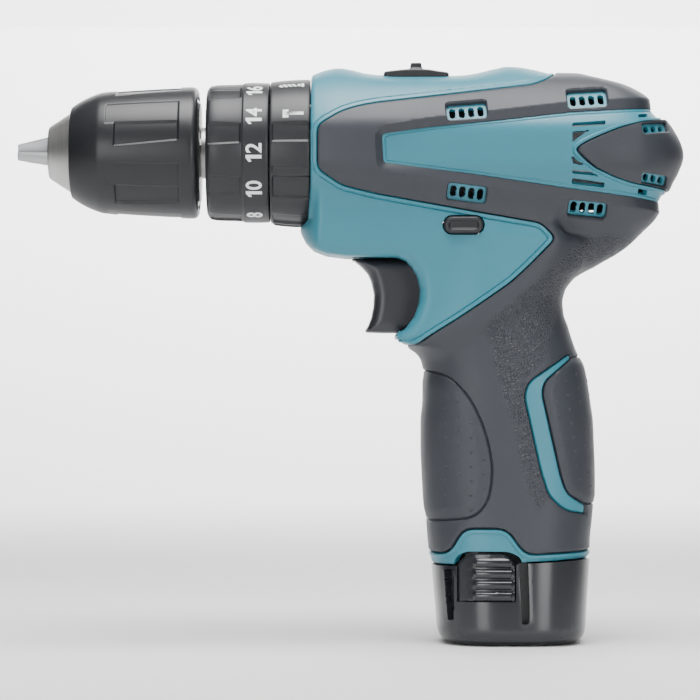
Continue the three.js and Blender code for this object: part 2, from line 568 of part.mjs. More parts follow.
// ---- battery ----
const CELL_X = -4.0;
const CELL_Z = BATTERY_WALL + GAP + 2;
const CELL_SPACING = CELL_R + GAP / 2;
const cellPlaces = [
  [CELL_X - CELL_SPACING, -CELL_SPACING * Math.sqrt(3) / 2],
  [CELL_X + CELL_SPACING, -CELL_SPACING * Math.sqrt(3) / 2],
  [CELL_X, CELL_SPACING * Math.sqrt(3) / 2],
];
const STICK_HALF_X = 2 * CELL_R + GAP + STICK_WALL + GAP;
const STICK_HALF_Y = CELL_R + CELL_SPACING * Math.sqrt(3) / 2 + STICK_WALL + GAP;
const STICK_TOP = CELL_Z + CELL_LENGTH + 4;
const CASE_TOP = FOOT_Z - 0.5;
const BATTERY_FRONT = -28.5;
const BATTERY_REAR = 21.4;
const LATCH_X = -21.2;
const LATCH_Z = 13.8;
const LATCH_OUTER = FOOT_HALF_WIDTH + 1.2;
const LATCH_THICK = 3.0;

function roundedBox(x0, x1, halfWidth, z0, z1, corner, lowInset, sides) {
  const section = (grow, z) => (angle, reach) => [
    (x0 + x1) / 2 + reach * ((x1 - x0) / 2 - grow) * bulge(Math.cos(angle), corner),
    reach * (halfWidth - grow) * bulge(Math.sin(angle), corner),
    z,
  ];
  return loft([section(lowInset, z0), section(lowInset * 0.35, z0 + lowInset * 0.5), section(0, z0 + lowInset * 1.6),
    section(0, z1)], sides);
}

function addBattery() {
  const cellRoom = cellPlaces.map(([x, y]) => bar([x, y, 0], [x, y, STICK_TOP - 2], CELL_R + GAP, 20));
  const shell = roundedBox(BATTERY_FRONT, BATTERY_REAR, FOOT_HALF_WIDTH, 0, CASE_TOP, 5, 2.5, 32);
  const bay = block(CELL_X - STICK_HALF_X, CELL_X + STICK_HALF_X, -STICK_HALF_Y, STICK_HALF_Y, BATTERY_WALL,
    CASE_TOP + 9);
  const pocket = block(LATCH_X - GAP, LATCH_X + LATCH_LENGTH + GAP, LATCH_OUTER - LATCH_THICK - LATCH_TRAVEL - GAP,
    40, LATCH_Z - GAP, CASE_TOP + 9);
  add('battery_case', shell.subtract(bay).subtract(pocket).subtract(mirrored(pocket)), BLACK);

  const [hx, hy] = [STICK_HALF_X - GAP, STICK_HALF_Y - GAP];
  const block0 = roundedBox(CELL_X - hx, CELL_X + hx, hy, BATTERY_WALL + GAP, STICK_TOP, 4.3, 0.2, 24);
  const hollow = cellRoom.reduce((all, room) => all.subtract(room), block0);
  const contacts = block(CELL_X - 9, CELL_X + 9, -6, 6, STICK_TOP - 1, STICK_TOP + 4);
  add('battery_stick', hollow.add(contacts), BLACK);
  cellPlaces.forEach(([x, y], k) => {
    add(`battery_cell_${k + 1}`, bar([x, y, CELL_Z], [x, y, CELL_Z + CELL_LENGTH], CELL_R, 20), CELL_WRAP);
  });
  const latch = block(LATCH_X, LATCH_X + LATCH_LENGTH, LATCH_OUTER - LATCH_THICK, LATCH_OUTER, LATCH_Z,
    LATCH_Z + LATCH_HEIGHT);
  add('battery_latch_right', latch, BLACK);
  add('battery_latch_left', mirrored(latch), BLACK);
  const blockZ = STICK_TOP + 4 + GAP;
  add('terminal_block', block(CELL_X - 11, CELL_X + 11, -8, 8, blockZ, blockZ + 7), BLACK);
}

// ---- housing shells, overmoulds and their screws ----
const screwPlaces = [
  [FRONT_X + 9, AXIS_Z - 27.8],
  [REAR_X - 20, AXIS_Z - 26.6],
  [-29.2, AXIS_Z - 61.4],
  [REAR_X - 5.9, AXIS_Z - 1],
];
const SEAT_Y = 11.5;
const LAMP_R = 2.7;
const lampAxis = new THREE.Vector3(-0.62, 0, -0.78).normalize();
const lampFace = new THREE.Vector3(FRONT_X + 1.2, 0, AXIS_Z - 31.2);

function lamp(r, front, back) {
  const [a, b] = [front, -back].map((d) => lampAxis.clone().multiplyScalar(d).add(lampFace).toArray());
  return bar(a, b, r, 16);
}

function housing() {
  const outer = body(0, FOOT_Z);
  const beyond = body(2.5, FOOT_Z - 1).subtract(body(-RUBBER, FOOT_Z - 2));
  const recess = beyond.intersect(prism(rubberOutline, -60, 60).add(prism(rearPadOutline, -60, 60)));
  let room = body(-WALL, FOOT_Z - 5);
  for (const x of [CAN_FRONT + 3, CAN_REAR - 6]) {
    const rib = block(x, x + 2.4, -40, 40, AXIS_Z - 24, AXIS_Z + 40).subtract(disc(x - 1, x + 4, MOTOR_R + GAP * 2, 20));
    room = room.subtract(rib);
  }
  const farEnough = 60;
  screwPlaces.forEach(([x, z]) => {
    room = room.subtract(bar([x, -farEnough, z], [x, farEnough, z], BOSS_R, 14));
  });
  let shell = outer.subtract(recess).subtract(room);
  const cuts = [
    disc(FRONT_X - 9, PLATE_X + 2.5, CASE_OUTER + GAP * 2, 24),
    disc(FRONT_X - 9, FRONT_X + 0.01, MODE_RING_R + 0.2 + GAP, 24),
    block(-60, -WALL - 20, -TRIGGER_WIDTH / 2 - GAP, TRIGGER_WIDTH / 2 + GAP, TRIGGER_LOW - GAP, TRIGGER_TOP + GAP),
    block(BUTTON_X - BUTTON_LENGTH / 2 - GAP, BUTTON_X + BUTTON_LENGTH / 2 + GAP, -60, 60,
      BUTTON_Z - BUTTON_HEIGHT / 2 - GAP, BUTTON_Z + BUTTON_HEIGHT / 2 + GAP),
    block(SELECTOR_X0 - GAP, SELECTOR_X0 + SELECTOR_LENGTH + SHIFT_TRAVEL + GAP, -SELECTOR_HALF - GAP,
      SELECTOR_HALF + GAP, AXIS_Z + 10, AXIS_Z + 60),
    lamp(LAMP_R + GAP, 12, 8),
  ];
  const latchRoom = block(LATCH_X - GAP, LATCH_X + LATCH_LENGTH + GAP, LATCH_OUTER - LATCH_THICK - LATCH_TRAVEL - GAP,
    60, 0, LATCH_Z + LATCH_HEIGHT + GAP);
  cuts.push(latchRoom, mirrored(latchRoom));
  screwPlaces.forEach(([x, z]) => {
    cuts.push(bar([x, -8.5, z], [x, SEAT_Y + 1, z], SCREW_R + GAP, 10));
    cuts.push(bar([x, SEAT_Y, z], [x, 60, z], SCREW_HEAD_R + GAP, 12));
  });
  for (const cut of cuts) shell = shell.subtract(cut);
  return shell;
}

function addHousing() {
  const rightSide = block(-200, 200, GAP / 2, 80, -50, 300);
  const sides = [['right', rightSide], ['left', mirrored(rightSide)]];
  const shell = housing();
  const skin = body(RUBBER_PROUD, FOOT_Z + 1).subtract(body(-RUBBER + GAP, FOOT_Z - 2));
  const openings = [
    block(-60, -WALL - 20, -TRIGGER_WIDTH / 2 - GAP, TRIGGER_WIDTH / 2 + GAP, TRIGGER_LOW - GAP, TRIGGER_TOP + GAP),
    ...screwPlaces.map(([x, z]) => bar([x, 0, z], [x, 60, z], SCREW_HEAD_R + GAP, 12)),
  ];
  const cutSkin = openings.reduce((all, cut) => all.subtract(cut), skin);
  for (const [name, keep] of sides) {
    add(`housing_${name}`, shell.intersect(keep), TEAL);
    add(`grip_overmould_${name}`, cutSkin.intersect(prism(inset(rubberOutline, -GAP), -60, 60)).intersect(keep),
      RUBBER_GREY);
    add(`rear_overmould_${name}`, cutSkin.intersect(prism(inset(rearPadOutline, -GAP), -60, 60)).intersect(keep),
      RUBBER_GREY);
  }
  screwPlaces.forEach(([x, z], k) => {
    const shank = bar([x, -8, z], [x, SEAT_Y + 1, z], SCREW_R, 10);
    add(`housing_screw_${k + 1}`, shank.add(bar([x, SEAT_Y + GAP, z], [x, SEAT_Y + 2.8, z], SCREW_HEAD_R, 12)), DARK_STEEL);
  });
  add('lamp_lens', lamp(LAMP_R, 0.4, 6), CLEAR);
}

addHousing();
addGearCase();
addGearTrain();
addMotor();
addRings();
addClutchSpring();
addSpindle();
addChuck();
addTrigger();
addButtons();
addBattery();

export default model;
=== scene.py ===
"""A compact cordless hammer driver drill, dressed around its packed mechanical model.

Shapes are worked out in millimetres in the part's own frame: x towards the rear, y to the right, z up.
Side-view places are given as (x, height over the spindle axis).
"""
import math

import bmesh
import bpy
import numpy as np
from bpy.props import FloatProperty, FloatVectorProperty, PointerProperty
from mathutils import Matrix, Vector


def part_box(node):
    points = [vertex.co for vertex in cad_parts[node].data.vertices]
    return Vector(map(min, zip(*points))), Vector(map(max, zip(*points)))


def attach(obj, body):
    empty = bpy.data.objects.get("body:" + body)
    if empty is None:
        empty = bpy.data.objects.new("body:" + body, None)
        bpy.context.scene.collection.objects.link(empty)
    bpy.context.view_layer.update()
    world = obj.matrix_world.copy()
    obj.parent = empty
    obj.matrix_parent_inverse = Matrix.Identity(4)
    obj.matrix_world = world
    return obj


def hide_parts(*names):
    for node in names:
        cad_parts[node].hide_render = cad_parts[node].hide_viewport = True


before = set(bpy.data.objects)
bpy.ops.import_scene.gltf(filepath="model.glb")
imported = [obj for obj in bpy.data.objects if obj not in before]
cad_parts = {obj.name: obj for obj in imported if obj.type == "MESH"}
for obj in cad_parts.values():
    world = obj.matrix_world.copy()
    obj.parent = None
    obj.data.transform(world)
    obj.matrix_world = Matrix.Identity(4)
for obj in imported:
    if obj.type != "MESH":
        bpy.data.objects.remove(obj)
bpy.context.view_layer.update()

bl_info = {
    "name": "Cordless drill",
    "version": (1, 0, 0),
    "blender": (4, 5, 0),
    "location": "3D View > Sidebar > Drill",
    "description": "Builds the visible pieces of a compact cordless drill around its packed frame",
    "category": "Object",
}

MM = 0.001


def node_box(name):
    """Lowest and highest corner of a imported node, in millimetres."""
    low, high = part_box(name)
    return np.array(low) / MM, np.array(high) / MM


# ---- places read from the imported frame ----
CHUCK_LOW, CHUCK_HIGH = node_box("chuck_body")
AXIS_Z = (CHUCK_LOW[2] + CHUCK_HIGH[2]) / 2
CHUCK_NOSE_X, CHUCK_REAR_X = CHUCK_LOW[0], CHUCK_HIGH[0]
TORQUE_LOW, TORQUE_HIGH = node_box("torque_ring")
MODE_LOW, MODE_HIGH = node_box("mode_ring")
FRONT_X = MODE_HIGH[0] + 0.3
REAR_X = node_box("rear_overmould_left")[1][0] - 0.3
BUTTON_LOW, BUTTON_HIGH = node_box("direction_button")
TRIGGER_LOW, TRIGGER_HIGH = node_box("trigger")
BATTERY_LOW, BATTERY_HIGH = node_box("battery_case")
SLEEVE_LOW, SLEEVE_HIGH = node_box("chuck_sleeve")
FOOT_Z = node_box("housing_left")[0][2]
FOOT_SLOPE, FOOT_FRONT_X = 0.042, -28.5     # the foot's rim rises towards the rear from here
RING_SIDES = 480
DIAL_RADIUS, DIAL_STEP = 22.2, 15.5         # outside of the torque dial, degrees between its numerals


# ---- small mathematics ----
def smooth_max(a, b, k):
    """The larger of two fields, with the corner between them rounded over a width k."""
    overlap = np.maximum(k - np.abs(a - b), 0.0) / k
    return np.maximum(a, b) + overlap * overlap * k / 4


def smooth_min(a, b, k):
    return -smooth_max(-a, -b, k)


def smooth_step(low, high, value):
    t = np.clip((value - low) / (high - low), 0.0, 1.0)
    return t * t * (3 - 2 * t)


def curve_through(points):
    """A monotone cubic through [(position, value), ...], flat beyond its ends."""
    x, y = (np.array(column, float) for column in zip(*sorted(points)))
    step = np.diff(x)
    slope = np.diff(y) / step
    tangent = np.zeros_like(y)
    same = slope[:-1] * slope[1:] > 0
    mean = 3 * (step[:-1] + step[1:])
    weight_a, weight_b = 2 * step[1:] + step[:-1], step[1:] + 2 * step[:-1]
    inner = np.zeros(len(y) - 2)
    inner[same] = mean[same] / (weight_a[same] / slope[:-1][same] + weight_b[same] / slope[1:][same])
    tangent[1:-1] = inner
    tangent[0], tangent[-1] = slope[0], slope[-1]

    def value(at):
        at = np.clip(at, x[0], x[-1])
        i = np.clip(np.searchsorted(x, at, side="right") - 1, 0, len(x) - 2)
        h = step[i]
        t = (at - x[i]) / h
        return ((1 + 2 * t) * (1 - t) ** 2 * y[i] + t * (1 - t) ** 2 * h * tangent[i]
                + t * t * (3 - 2 * t) * y[i + 1] + t * t * (t - 1) * h * tangent[i + 1])
    return value


def outline_field(points):
    """Signed distance to a closed side-view outline, negative inside."""
    ring = np.array(points, float)
    after = np.roll(ring, -1, axis=0)

    def field(x, h):
        best = np.full(x.shape, 1e9)
        inside = np.zeros(x.shape, bool)
        for (ax, ah), (bx, bh) in zip(ring, after):
            ex, eh = bx - ax, bh - ah
            t = np.clip(((x - ax) * ex + (h - ah) * eh) / (ex * ex + eh * eh), 0.0, 1.0)
            best = np.minimum(best, (x - ax - t * ex) ** 2 + (h - ah - t * eh) ** 2)
            if ah != bh:
                crosses = (ah > h) != (bh > h)
                inside ^= crosses & (x < (h - ah) * ex / eh + ax)
        return np.where(inside, -1.0, 1.0) * np.sqrt(best)
    return field


def round_corners(points, radius, steps=4, sharp=()):
    """The same outline with each corner replaced by a short curve, except those numbered in sharp."""
    ring = [np.array(p, float) for p in points]
    result = []
    for i, corner in enumerate(ring):
        before, after = ring[i - 1], ring[(i + 1) % len(ring)]
        reach = min(radius, np.linalg.norm(before - corner) * 0.45, np.linalg.norm(after - corner) * 0.45)
        if i in sharp:
            result.append(tuple(corner))
            continue
        a = corner + (before - corner) / np.linalg.norm(before - corner) * reach
        b = corner + (after - corner) / np.linalg.norm(after - corner) * reach
        for t in np.linspace(0, 1, steps):
            result.append(tuple((1 - t) ** 2 * a + 2 * t * (1 - t) * corner + t * t * b))
    return result


def slot_field(cx, ch, length, height, tilt, corner):
    """Signed distance to a rounded, tilted rectangle in the side view."""
    c, s = math.cos(math.radians(tilt)), math.sin(math.radians(tilt))

    def field(x, h):
        u = np.abs((x - cx) * c + (h - ch) * s) - (length / 2 - corner)
        v = np.abs((h - ch) * c - (x - cx) * s) - (height / 2 - corner)
        outside = np.hypot(np.maximum(u, 0), np.maximum(v, 0))
        return outside + np.minimum(np.maximum(u, v), 0) - corner
    return field


# ---- surfaces from fields ----
def gradient(field, points, eps=0.04):
    result = np.empty_like(points)
    for axis in range(3):
        ahead, behind = points.copy(), points.copy()
        ahead[:, axis] += eps
        behind[:, axis] -= eps
        result[:, axis] = (field(ahead) - field(behind)) / (2 * eps)
    return result


def unit(vectors):
    return vectors / np.maximum(np.linalg.norm(vectors, axis=1, keepdims=True), 1e-9)


def settle(field, points, rounds=4, limit=0.6):
    """Moves points onto the zero surface of a field."""
    for _ in range(rounds):
        slope = gradient(field, points)
        size = np.maximum((slope ** 2).sum(1), 1e-6)
        move = -field(points)[:, None] * slope / size[:, None]
        length = np.maximum(np.linalg.norm(move, axis=1, keepdims=True), 1e-9)
        points = points + move * np.minimum(1.0, limit / length)
    return points


def relax(field, points, quads, rounds):
    """Evens out the mesh on its surface."""
    pairs = np.vstack([quads[:, [0, 1]], quads[:, [1, 2]], quads[:, [2, 3]], quads[:, [3, 0]]])
    pairs = np.vstack([pairs, pairs[:, ::-1]])
    count = np.maximum(np.bincount(pairs[:, 0], minlength=len(points)), 1)
    for _ in range(rounds):
        mean = np.stack([np.bincount(pairs[:, 0], points[pairs[:, 1], a],
                                     len(points)) / count for a in range(3)], 1)
        points = settle(field, points * 0.4 + mean * 0.6, 2)
    return points


def net(field, low, high, step, rounds=3):
    """Quad mesh of a field's zero surface inside a box; returns its points and quads."""
    axes = [np.arange(a, b + step, step) for a, b in zip(low, high)]
    shape = tuple(len(a) for a in axes)
    grid = np.stack(np.meshgrid(*axes, indexing="ij"), -1).reshape(-1, 3)
    inside = (field(grid) < 0).reshape(shape)
    corners = [inside[i:shape[0] - 1 + i, j:shape[1] - 1 + j, k:shape[2] - 1 + k]
               for i in (0, 1) for j in (0, 1) for k in (0, 1)]
    total = sum(c.astype(int) for c in corners)
    mixed = (total > 0) & (total < 8)
    number = np.full(mixed.shape, -1)
    number[mixed] = np.arange(mixed.sum())
    cells = np.argwhere(mixed)
    points = np.stack([axes[a][cells[:, a]] + step / 2 for a in range(3)], 1)
    quads = []
    for axis in range(3):
        ahead = np.roll(inside, -1, axis)
        flips = np.argwhere(inside != ahead)
        b, c = (axis + 1) % 3, (axis + 2) % 3
        keep = (flips[:, axis] < shape[axis] - 1) & (flips[:, b] > 0) & (flips[:, c] > 0)
        keep &= (flips[:, b] < shape[b] - 1) & (flips[:, c] < shape[c] - 1)
        flips = flips[keep]
        ring = []
        for db, dc in ((-1, -1), (0, -1), (0, 0), (-1, 0)):
            cell = flips.copy()
            cell[:, b] += db
            cell[:, c] += dc
            ring.append(number[tuple(cell.T)])
        ring = np.stack(ring, 1)
        outward = inside[tuple(flips.T)]
        quads.append(np.where(outward[:, None], ring, ring[:, ::-1]))
    quads = np.vstack(quads)
    points = settle(field, points)
    return relax(field, points, quads, rounds), quads


def closed(front, back, faces):
    """A solid from a sheet of triangles, its back, and walls round the open edges."""
    n = len(front)
    edges = np.vstack([faces[:, [0, 1]], faces[:, [1, 2]], faces[:, [2, 0]]]).astype(np.int64)
    rim = edges[~np.isin(edges[:, 0] * n + edges[:, 1], edges[:, 1] * n + edges[:, 0])]
    wall_a = np.stack([rim[:, 1], rim[:, 0], rim[:, 0] + n], 1)
    wall_b = np.stack([rim[:, 1], rim[:, 0] + n, rim[:, 1] + n], 1)
    return np.vstack([front, back]), np.vstack([faces, faces[:, ::-1] + n, wall_a, wall_b])


class Skin:
    """Triangles lying on a field's surface, which can be cut along lines."""

    def __init__(self, field, points, quads):
        self.field = field
        self.points = points
        self.faces = np.vstack([quads[:, [0, 1, 2]], quads[:, [0, 2, 3]]])
        self.fixed = np.zeros(len(points), bool)

    def cut(self, line, snap=0.3):
        """Puts edges along the zero line of another field, moving near corners onto it."""
        value = line(self.points)
        near = (np.abs(value) < snap) & ~self.fixed
        if near.any():
            moved = settle(line, self.points[near], 2)
            self.points[near] = settle(self.field, moved, 1)
            value[near] = 0.0
        value[np.abs(value) < 1e-3] = 0.0
        f = self.faces
        v = value[f]
        crossing = np.stack([v[:, i] * v[:, (i + 1) % 3] < 0 for i in range(3)], 1)
        hits = crossing.sum(1)
        keep = f[hits == 0]
        pairs = np.vstack([f[crossing[:, i]][:, [i, (i + 1) % 3]] for i in range(3)])
        if not len(pairs):
            self.fixed |= value == 0
            return
        pairs.sort(axis=1)
        pairs = np.unique(pairs, axis=0)
        a, b = pairs.T
        t = value[a] / (value[a] - value[b])
        fresh = self.points[a] * (1 - t[:, None]) + self.points[b] * t[:, None]
        fresh = settle(self.field, fresh, 1)
        key = {(int(p), int(q)): len(self.points) + i for i, (p, q) in enumerate(pairs)}

        def middle(p, q):
            return np.array([key[(min(i, j), max(i, j))] for i, j in zip(p.tolist(), q.tolist())], int)

        parts = [keep]
        for i in range(3):
            p, q, r = f[:, i], f[:, (i + 1) % 3], f[:, (i + 2) % 3]
            one = (hits == 1) & crossing[:, i]
            if one.any():
                m = middle(p[one], q[one])
                parts += [np.stack([p[one], m, r[one]], 1), np.stack([m, q[one], r[one]], 1)]
            two = (hits == 2) & ~crossing[:, i]
            if two.any():
                m, n = middle(q[two], r[two]), middle(r[two], p[two])
                parts += [np.stack([p[two], q[two], m], 1), np.stack([p[two], m, n], 1),
                          np.stack([n, m, r[two]], 1)]
        self.points = np.vstack([self.points, fresh])
        self.fixed = np.concatenate([self.fixed | (value == 0), np.ones(len(fresh), bool)])
        self.faces = np.vstack(parts)

    def keep(self, chosen):
        """Drops the triangles whose middles aren't chosen."""
        self.faces = self.faces[chosen(self.points[self.faces].mean(1))]
        used = np.unique(self.faces)
        number = np.full(len(self.points), -1)
        number[used] = np.arange(len(used))
        self.points, self.fixed, self.faces = self.points[used], self.fixed[used], number[self.faces]

    def copy(self):
        twin = Skin.__new__(Skin)
        twin.field, twin.points = self.field, self.points.copy()
        twin.faces, twin.fixed = self.faces.copy(), self.fixed.copy()
        return twin

    def solid(self, height, depth, outward=None):
        """Lifts the skin by a height field and closes it with a back at a constant depth."""
        normal = unit(gradient(self.field, self.points))
        if outward:
            normal = outward(self.points, normal)
        return closed(self.points + normal * height(self.points)[:, None], self.points - normal * depth,
                      self.faces)


# ---- Blender pieces ----
def placed(name, data):
    """A new object in the scene."""
    obj = bpy.data.objects.new(name, data)
    bpy.context.scene.collection.objects.link(obj)
    return obj


def baked(obj, name):
    """A mesh of an object as it stands after its modifiers; the object itself is taken away."""
    bpy.context.view_layer.update()
    mesh = bpy.data.meshes.new_from_object(obj.evaluated_get(bpy.context.evaluated_depsgraph_get()))
    bpy.data.objects.remove(obj)
    mesh.name = name
    return mesh


def shaded_mesh(name, points, faces, sharp):
    """A smooth-shaded mesh from points in millimetres, with edges steeper than an angle kept sharp."""
    mesh = bpy.data.meshes.new(name)
    mesh.from_pydata([tuple(p) for p in np.asarray(points) * MM], [],
                     [tuple(int(i) for i in f) for f in faces])
    mesh.update()
    mesh.shade_smooth()
    mesh.set_sharp_from_angle(angle=math.radians(sharp))
    return mesh


def piece(name, points, faces, body, slot, material, sharp=35.0):
    """A finished mesh object at the origin, from points in millimetres."""
    mesh = shaded_mesh(name, points, faces, sharp)
    obj = placed(name, mesh)
    mesh.materials.append(material)
    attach(obj, body)
    return obj


def mirrored(points, faces):
    return points * np.array([1.0, -1.0, 1.0]), [tuple(reversed(f)) for f in faces]


def joined(*meshes):
    """Several (points, faces) meshes as one."""
    points, faces, start = [], [], 0
    for part_points, part_faces in meshes:
        points.append(np.asarray(part_points, float))
        faces += [tuple(int(i) + start for i in f) for f in part_faces]
        start += len(part_points)
    return np.vstack(points), faces


def ring_faces(n, sides):
    """Faces between neighbouring copies of a closed profile of n points, carried round in a ring."""
    faces = []
    for k in range(sides):
        a, b = k * n, ((k + 1) % sides) * n
        faces += [(a + i, a + (i + 1) % n, b + (i + 1) % n, b + i) for i in range(n)]
    return faces


def turned(profile, sides=96):
    """A closed profile of (x, radius) turned about the spindle axis."""
    angles = [2 * math.pi * k / sides for k in range(sides)]
    points = [(float(x), float(r) * math.cos(angle), AXIS_Z + float(r) * math.sin(angle))
              for angle in angles for x, r in profile]
    return clean(np.array(points), [(a, d, c, b) for a, b, c, d in ring_faces(len(profile), sides)])


def clean(points, faces):
    """Merges doubles, drops empty faces and turns every face outwards."""
    mesh = bmesh.new()
    verts = [mesh.verts.new(tuple(p)) for p in points]
    for f in faces:
        try:
            mesh.faces.new([verts[i] for i in f])
        except ValueError:
            continue
    bmesh.ops.remove_doubles(mesh, verts=mesh.verts, dist=1e-4)
    bmesh.ops.dissolve_degenerate(mesh, dist=1e-4, edges=mesh.edges)
    bmesh.ops.recalc_face_normals(mesh, faces=mesh.faces)
    mesh.verts.index_update()
    result = (np.array([tuple(v.co) for v in mesh.verts]),
              [tuple(v.index for v in f.verts) for f in mesh.faces])
    mesh.free()
    return result


# ---- materials ----
KINDS = {"colour": "NodeSocketColor", "value": "NodeSocketFloat", "vector": "NodeSocketVector",
         "shape": "NodeSocketGeometry", "object": "NodeSocketObject", "material": "NodeSocketMaterial"}


def node_group(name, tree_type, inputs, outputs):
    """A new node group with sockets given as (name, kind) or (name, kind, usual value)."""
    group = bpy.data.node_groups.new(name, tree_type)
    for direction, sockets in (("INPUT", inputs), ("OUTPUT", outputs)):
        for label, kind, *usual in sockets:
            socket = group.interface.new_socket(label, in_out=direction, socket_type=KINDS[kind])
            if usual:
                socket.default_value = usual[0]
    return group


def wire(tree, *wires):
    """Joins sockets given as (from node, output, to node, input)."""
    for source, output, target, place in wires:
        tree.links.new(source.outputs[output], target.inputs[place])


def math_node(tree, operation, *values):
    """An arithmetic node; each value is a number or a (node, output) pair."""
    node = tree.nodes.new("ShaderNodeMath")
    node.operation = operation
    for k, value in enumerate(values):
        if isinstance(value, tuple):
            wire(tree, (*value, node, k))
        else:
            node.inputs[k].default_value = value
    return node


def new_material(name):
    material = bpy.data.materials.new(name)
    material.use_nodes = True
    tree = material.node_tree
    tree.nodes.clear()
    out = tree.nodes.new("ShaderNodeOutputMaterial")
    shader = tree.nodes.new("ShaderNodeBsdfPrincipled")
    wire(tree, (shader, 0, out, 0))
    return material, tree, shader


def group_node(tree, group, **values):
    node = tree.nodes.new("ShaderNodeGroup")
    node.node_tree = group
    for name, value in values.items():
        node.inputs[name.replace("_", " ").capitalize()].default_value = value
    return node


def make_surface_group():
    """Moulded or cast surface: blotches of colour and roughness, and a fine bump height."""
    group = node_group("Moulded surface", "ShaderNodeTree",
                       [("Colour", "colour", (0.5, 0.5, 0.5, 1)), ("Variation", "value", 0.06),
                        ("Roughness", "value", 0.5), ("Roughness spread", "value", 0.08),
                        ("Grain scale", "value", 1800.0), ("Grain depth", "value", 0.3)],
                       [("Colour", "colour"), ("Roughness", "value"), ("Height", "value")])
    new = group.nodes.new
    take, give = new("NodeGroupInput"), new("NodeGroupOutput")
    where = new("ShaderNodeTexCoord")
    blotch = new("ShaderNodeTexNoise")
    blotch.inputs["Scale"].default_value = 55.0
    blotch.inputs["Detail"].default_value = 4.0
    grain = new("ShaderNodeTexNoise")
    grain.inputs["Detail"].default_value = 3.0
    wire(group, (where, "Object", blotch, "Vector"), (where, "Object", grain, "Vector"),
         (take, "Grain scale", grain, "Scale"))
    centred = math_node(group, "SUBTRACT", (blotch, "Fac"), 0.5)
    gain = math_node(group, "MULTIPLY_ADD", (centred, 0), (take, "Variation"), 1.0)
    tint = new("ShaderNodeVectorMath")
    tint.operation = "SCALE"
    fine = math_node(group, "SUBTRACT", (grain, "Fac"), 0.5)
    both = math_node(group, "ADD", (centred, 0), (fine, 0))
    spread = math_node(group, "MULTIPLY", (take, "Roughness spread"), (both, 0))
    rough = math_node(group, "ADD", (take, "Roughness"), (spread, 0))
    height = math_node(group, "MULTIPLY", (grain, "Fac"), (take, "Grain depth"))
    wire(group, (take, "Colour", tint, 0), (gain, 0, tint, "Scale"), (tint, 0, give, "Colour"),
         (rough, 0, give, "Roughness"), (height, 0, give, "Height"))
    return group


def moulded(name, colour, roughness, grain_scale=1800.0, grain_depth=0.3, variation=0.06, metallic=0.0,
            bump=0.00004, coat=0.0, specular=0.5, spread=0.08):
    material, tree, shader = new_material(name)
    look = group_node(tree, SURFACE_GROUP, colour=(*colour, 1), variation=variation, roughness=roughness,
                      roughness_spread=spread, grain_scale=grain_scale, grain_depth=grain_depth)
    height = tree.nodes.new("ShaderNodeBump")
    height.inputs["Distance"].default_value = bump
    wire(tree, (look, "Colour", shader, "Base Color"), (look, "Roughness", shader, "Roughness"),
         (look, "Height", height, "Height"), (height, 0, shader, "Normal"))
    shader.inputs["Metallic"].default_value = metallic
    shader.inputs["Coat Weight"].default_value = coat
    shader.inputs["Specular IOR Level"].default_value = specular
    return material


SURFACE_GROUP = make_surface_group()


# ---- side-view outlines ----
FAR = 90.0
BAND_OUTLINE = [
    (-64.7, 7.0), (-60.9, 9.5), (-57.1, 11.7), (-52.0, 13.3), (-46.3, 14.4), (-25.4, 16.9), (2.9, 20.5),
    (7.3, 22.2), (11.1, 25.0), (11.6, 40.0), (FAR, 40.0), (FAR, -200.0), (-FAR, -200.0), (-FAR, -61.5),
    (-34.0, -61.2), (-28.5, -57.6), (-20.4, -52.6), (-12.8, -47.5), (-4.2, -41.5), (1.8, -35.9),
    (9.7, -27.9), (5.1, -23.1), (-15.5, -19.6), (-46.9, -13.9), (-57.1, -11.4), (-64.7, -6.3),
]
PANEL_OUTLINE = [
    (FAR, 14.2), (42.5, 14.1), (13.6, 12.2), (-30.4, 6.8), (-44.6, 4.5), (-44.1, -4.7), (13.6, -13.0),
    (46.6, -17.1), (FAR, -17.4),
]
LEAF_OUTLINE = [
    (15.5, -0.3), (18.5, 1.7), (24.7, 4.6), (30.5, 7.1), (36.8, 8.9), (46.6, 10.5), (FAR, 11.0),
    (FAR, -13.4), (48.2, -13.0), (34.2, -11.1), (28.0, -9.2), (21.9, -6.3), (18.2, -3.0),
]
FRONT_PAD_OUTLINE = [
    (-FAR, -68.6), (-30.4, -69.1), (-23.8, -70.7), (-17.4, -77.0), (-12.4, -87.2), (-9.8, -99.5),
    (-11.1, -109.7), (-15.5, -115.1), (-26.0, -116.3), (-FAR, -116.0),
]
STRIPE_OUTER = [(14.3, -64.0), (1.4, -72.6), (-0.2, -77.0), (5.1, -100.8), (7.6, -108.4), (12.7, -112.9),
                (19.2, -114.2)]
STRIPE_INNER = [(19.2, -111.3), (13.3, -107.8), (11.4, -102.7), (5.4, -76.4), (6.3, -72.6), (14.8, -65.6)]
REAR_PAD_OUTLINE = [(FAR, -64.5), (14.8, -65.0), *STRIPE_INNER[::-1][1:], (FAR, -111.8)]
COLLAR_OUTLINE = [
    (-FAR, -126.6), (-23.5, -126.6), (-19.0, -118.6), (-5.7, -118.6), (0.0, -126.6), (FAR, -123.4),
    (FAR, -200.0), (-FAR, -200.0),
]

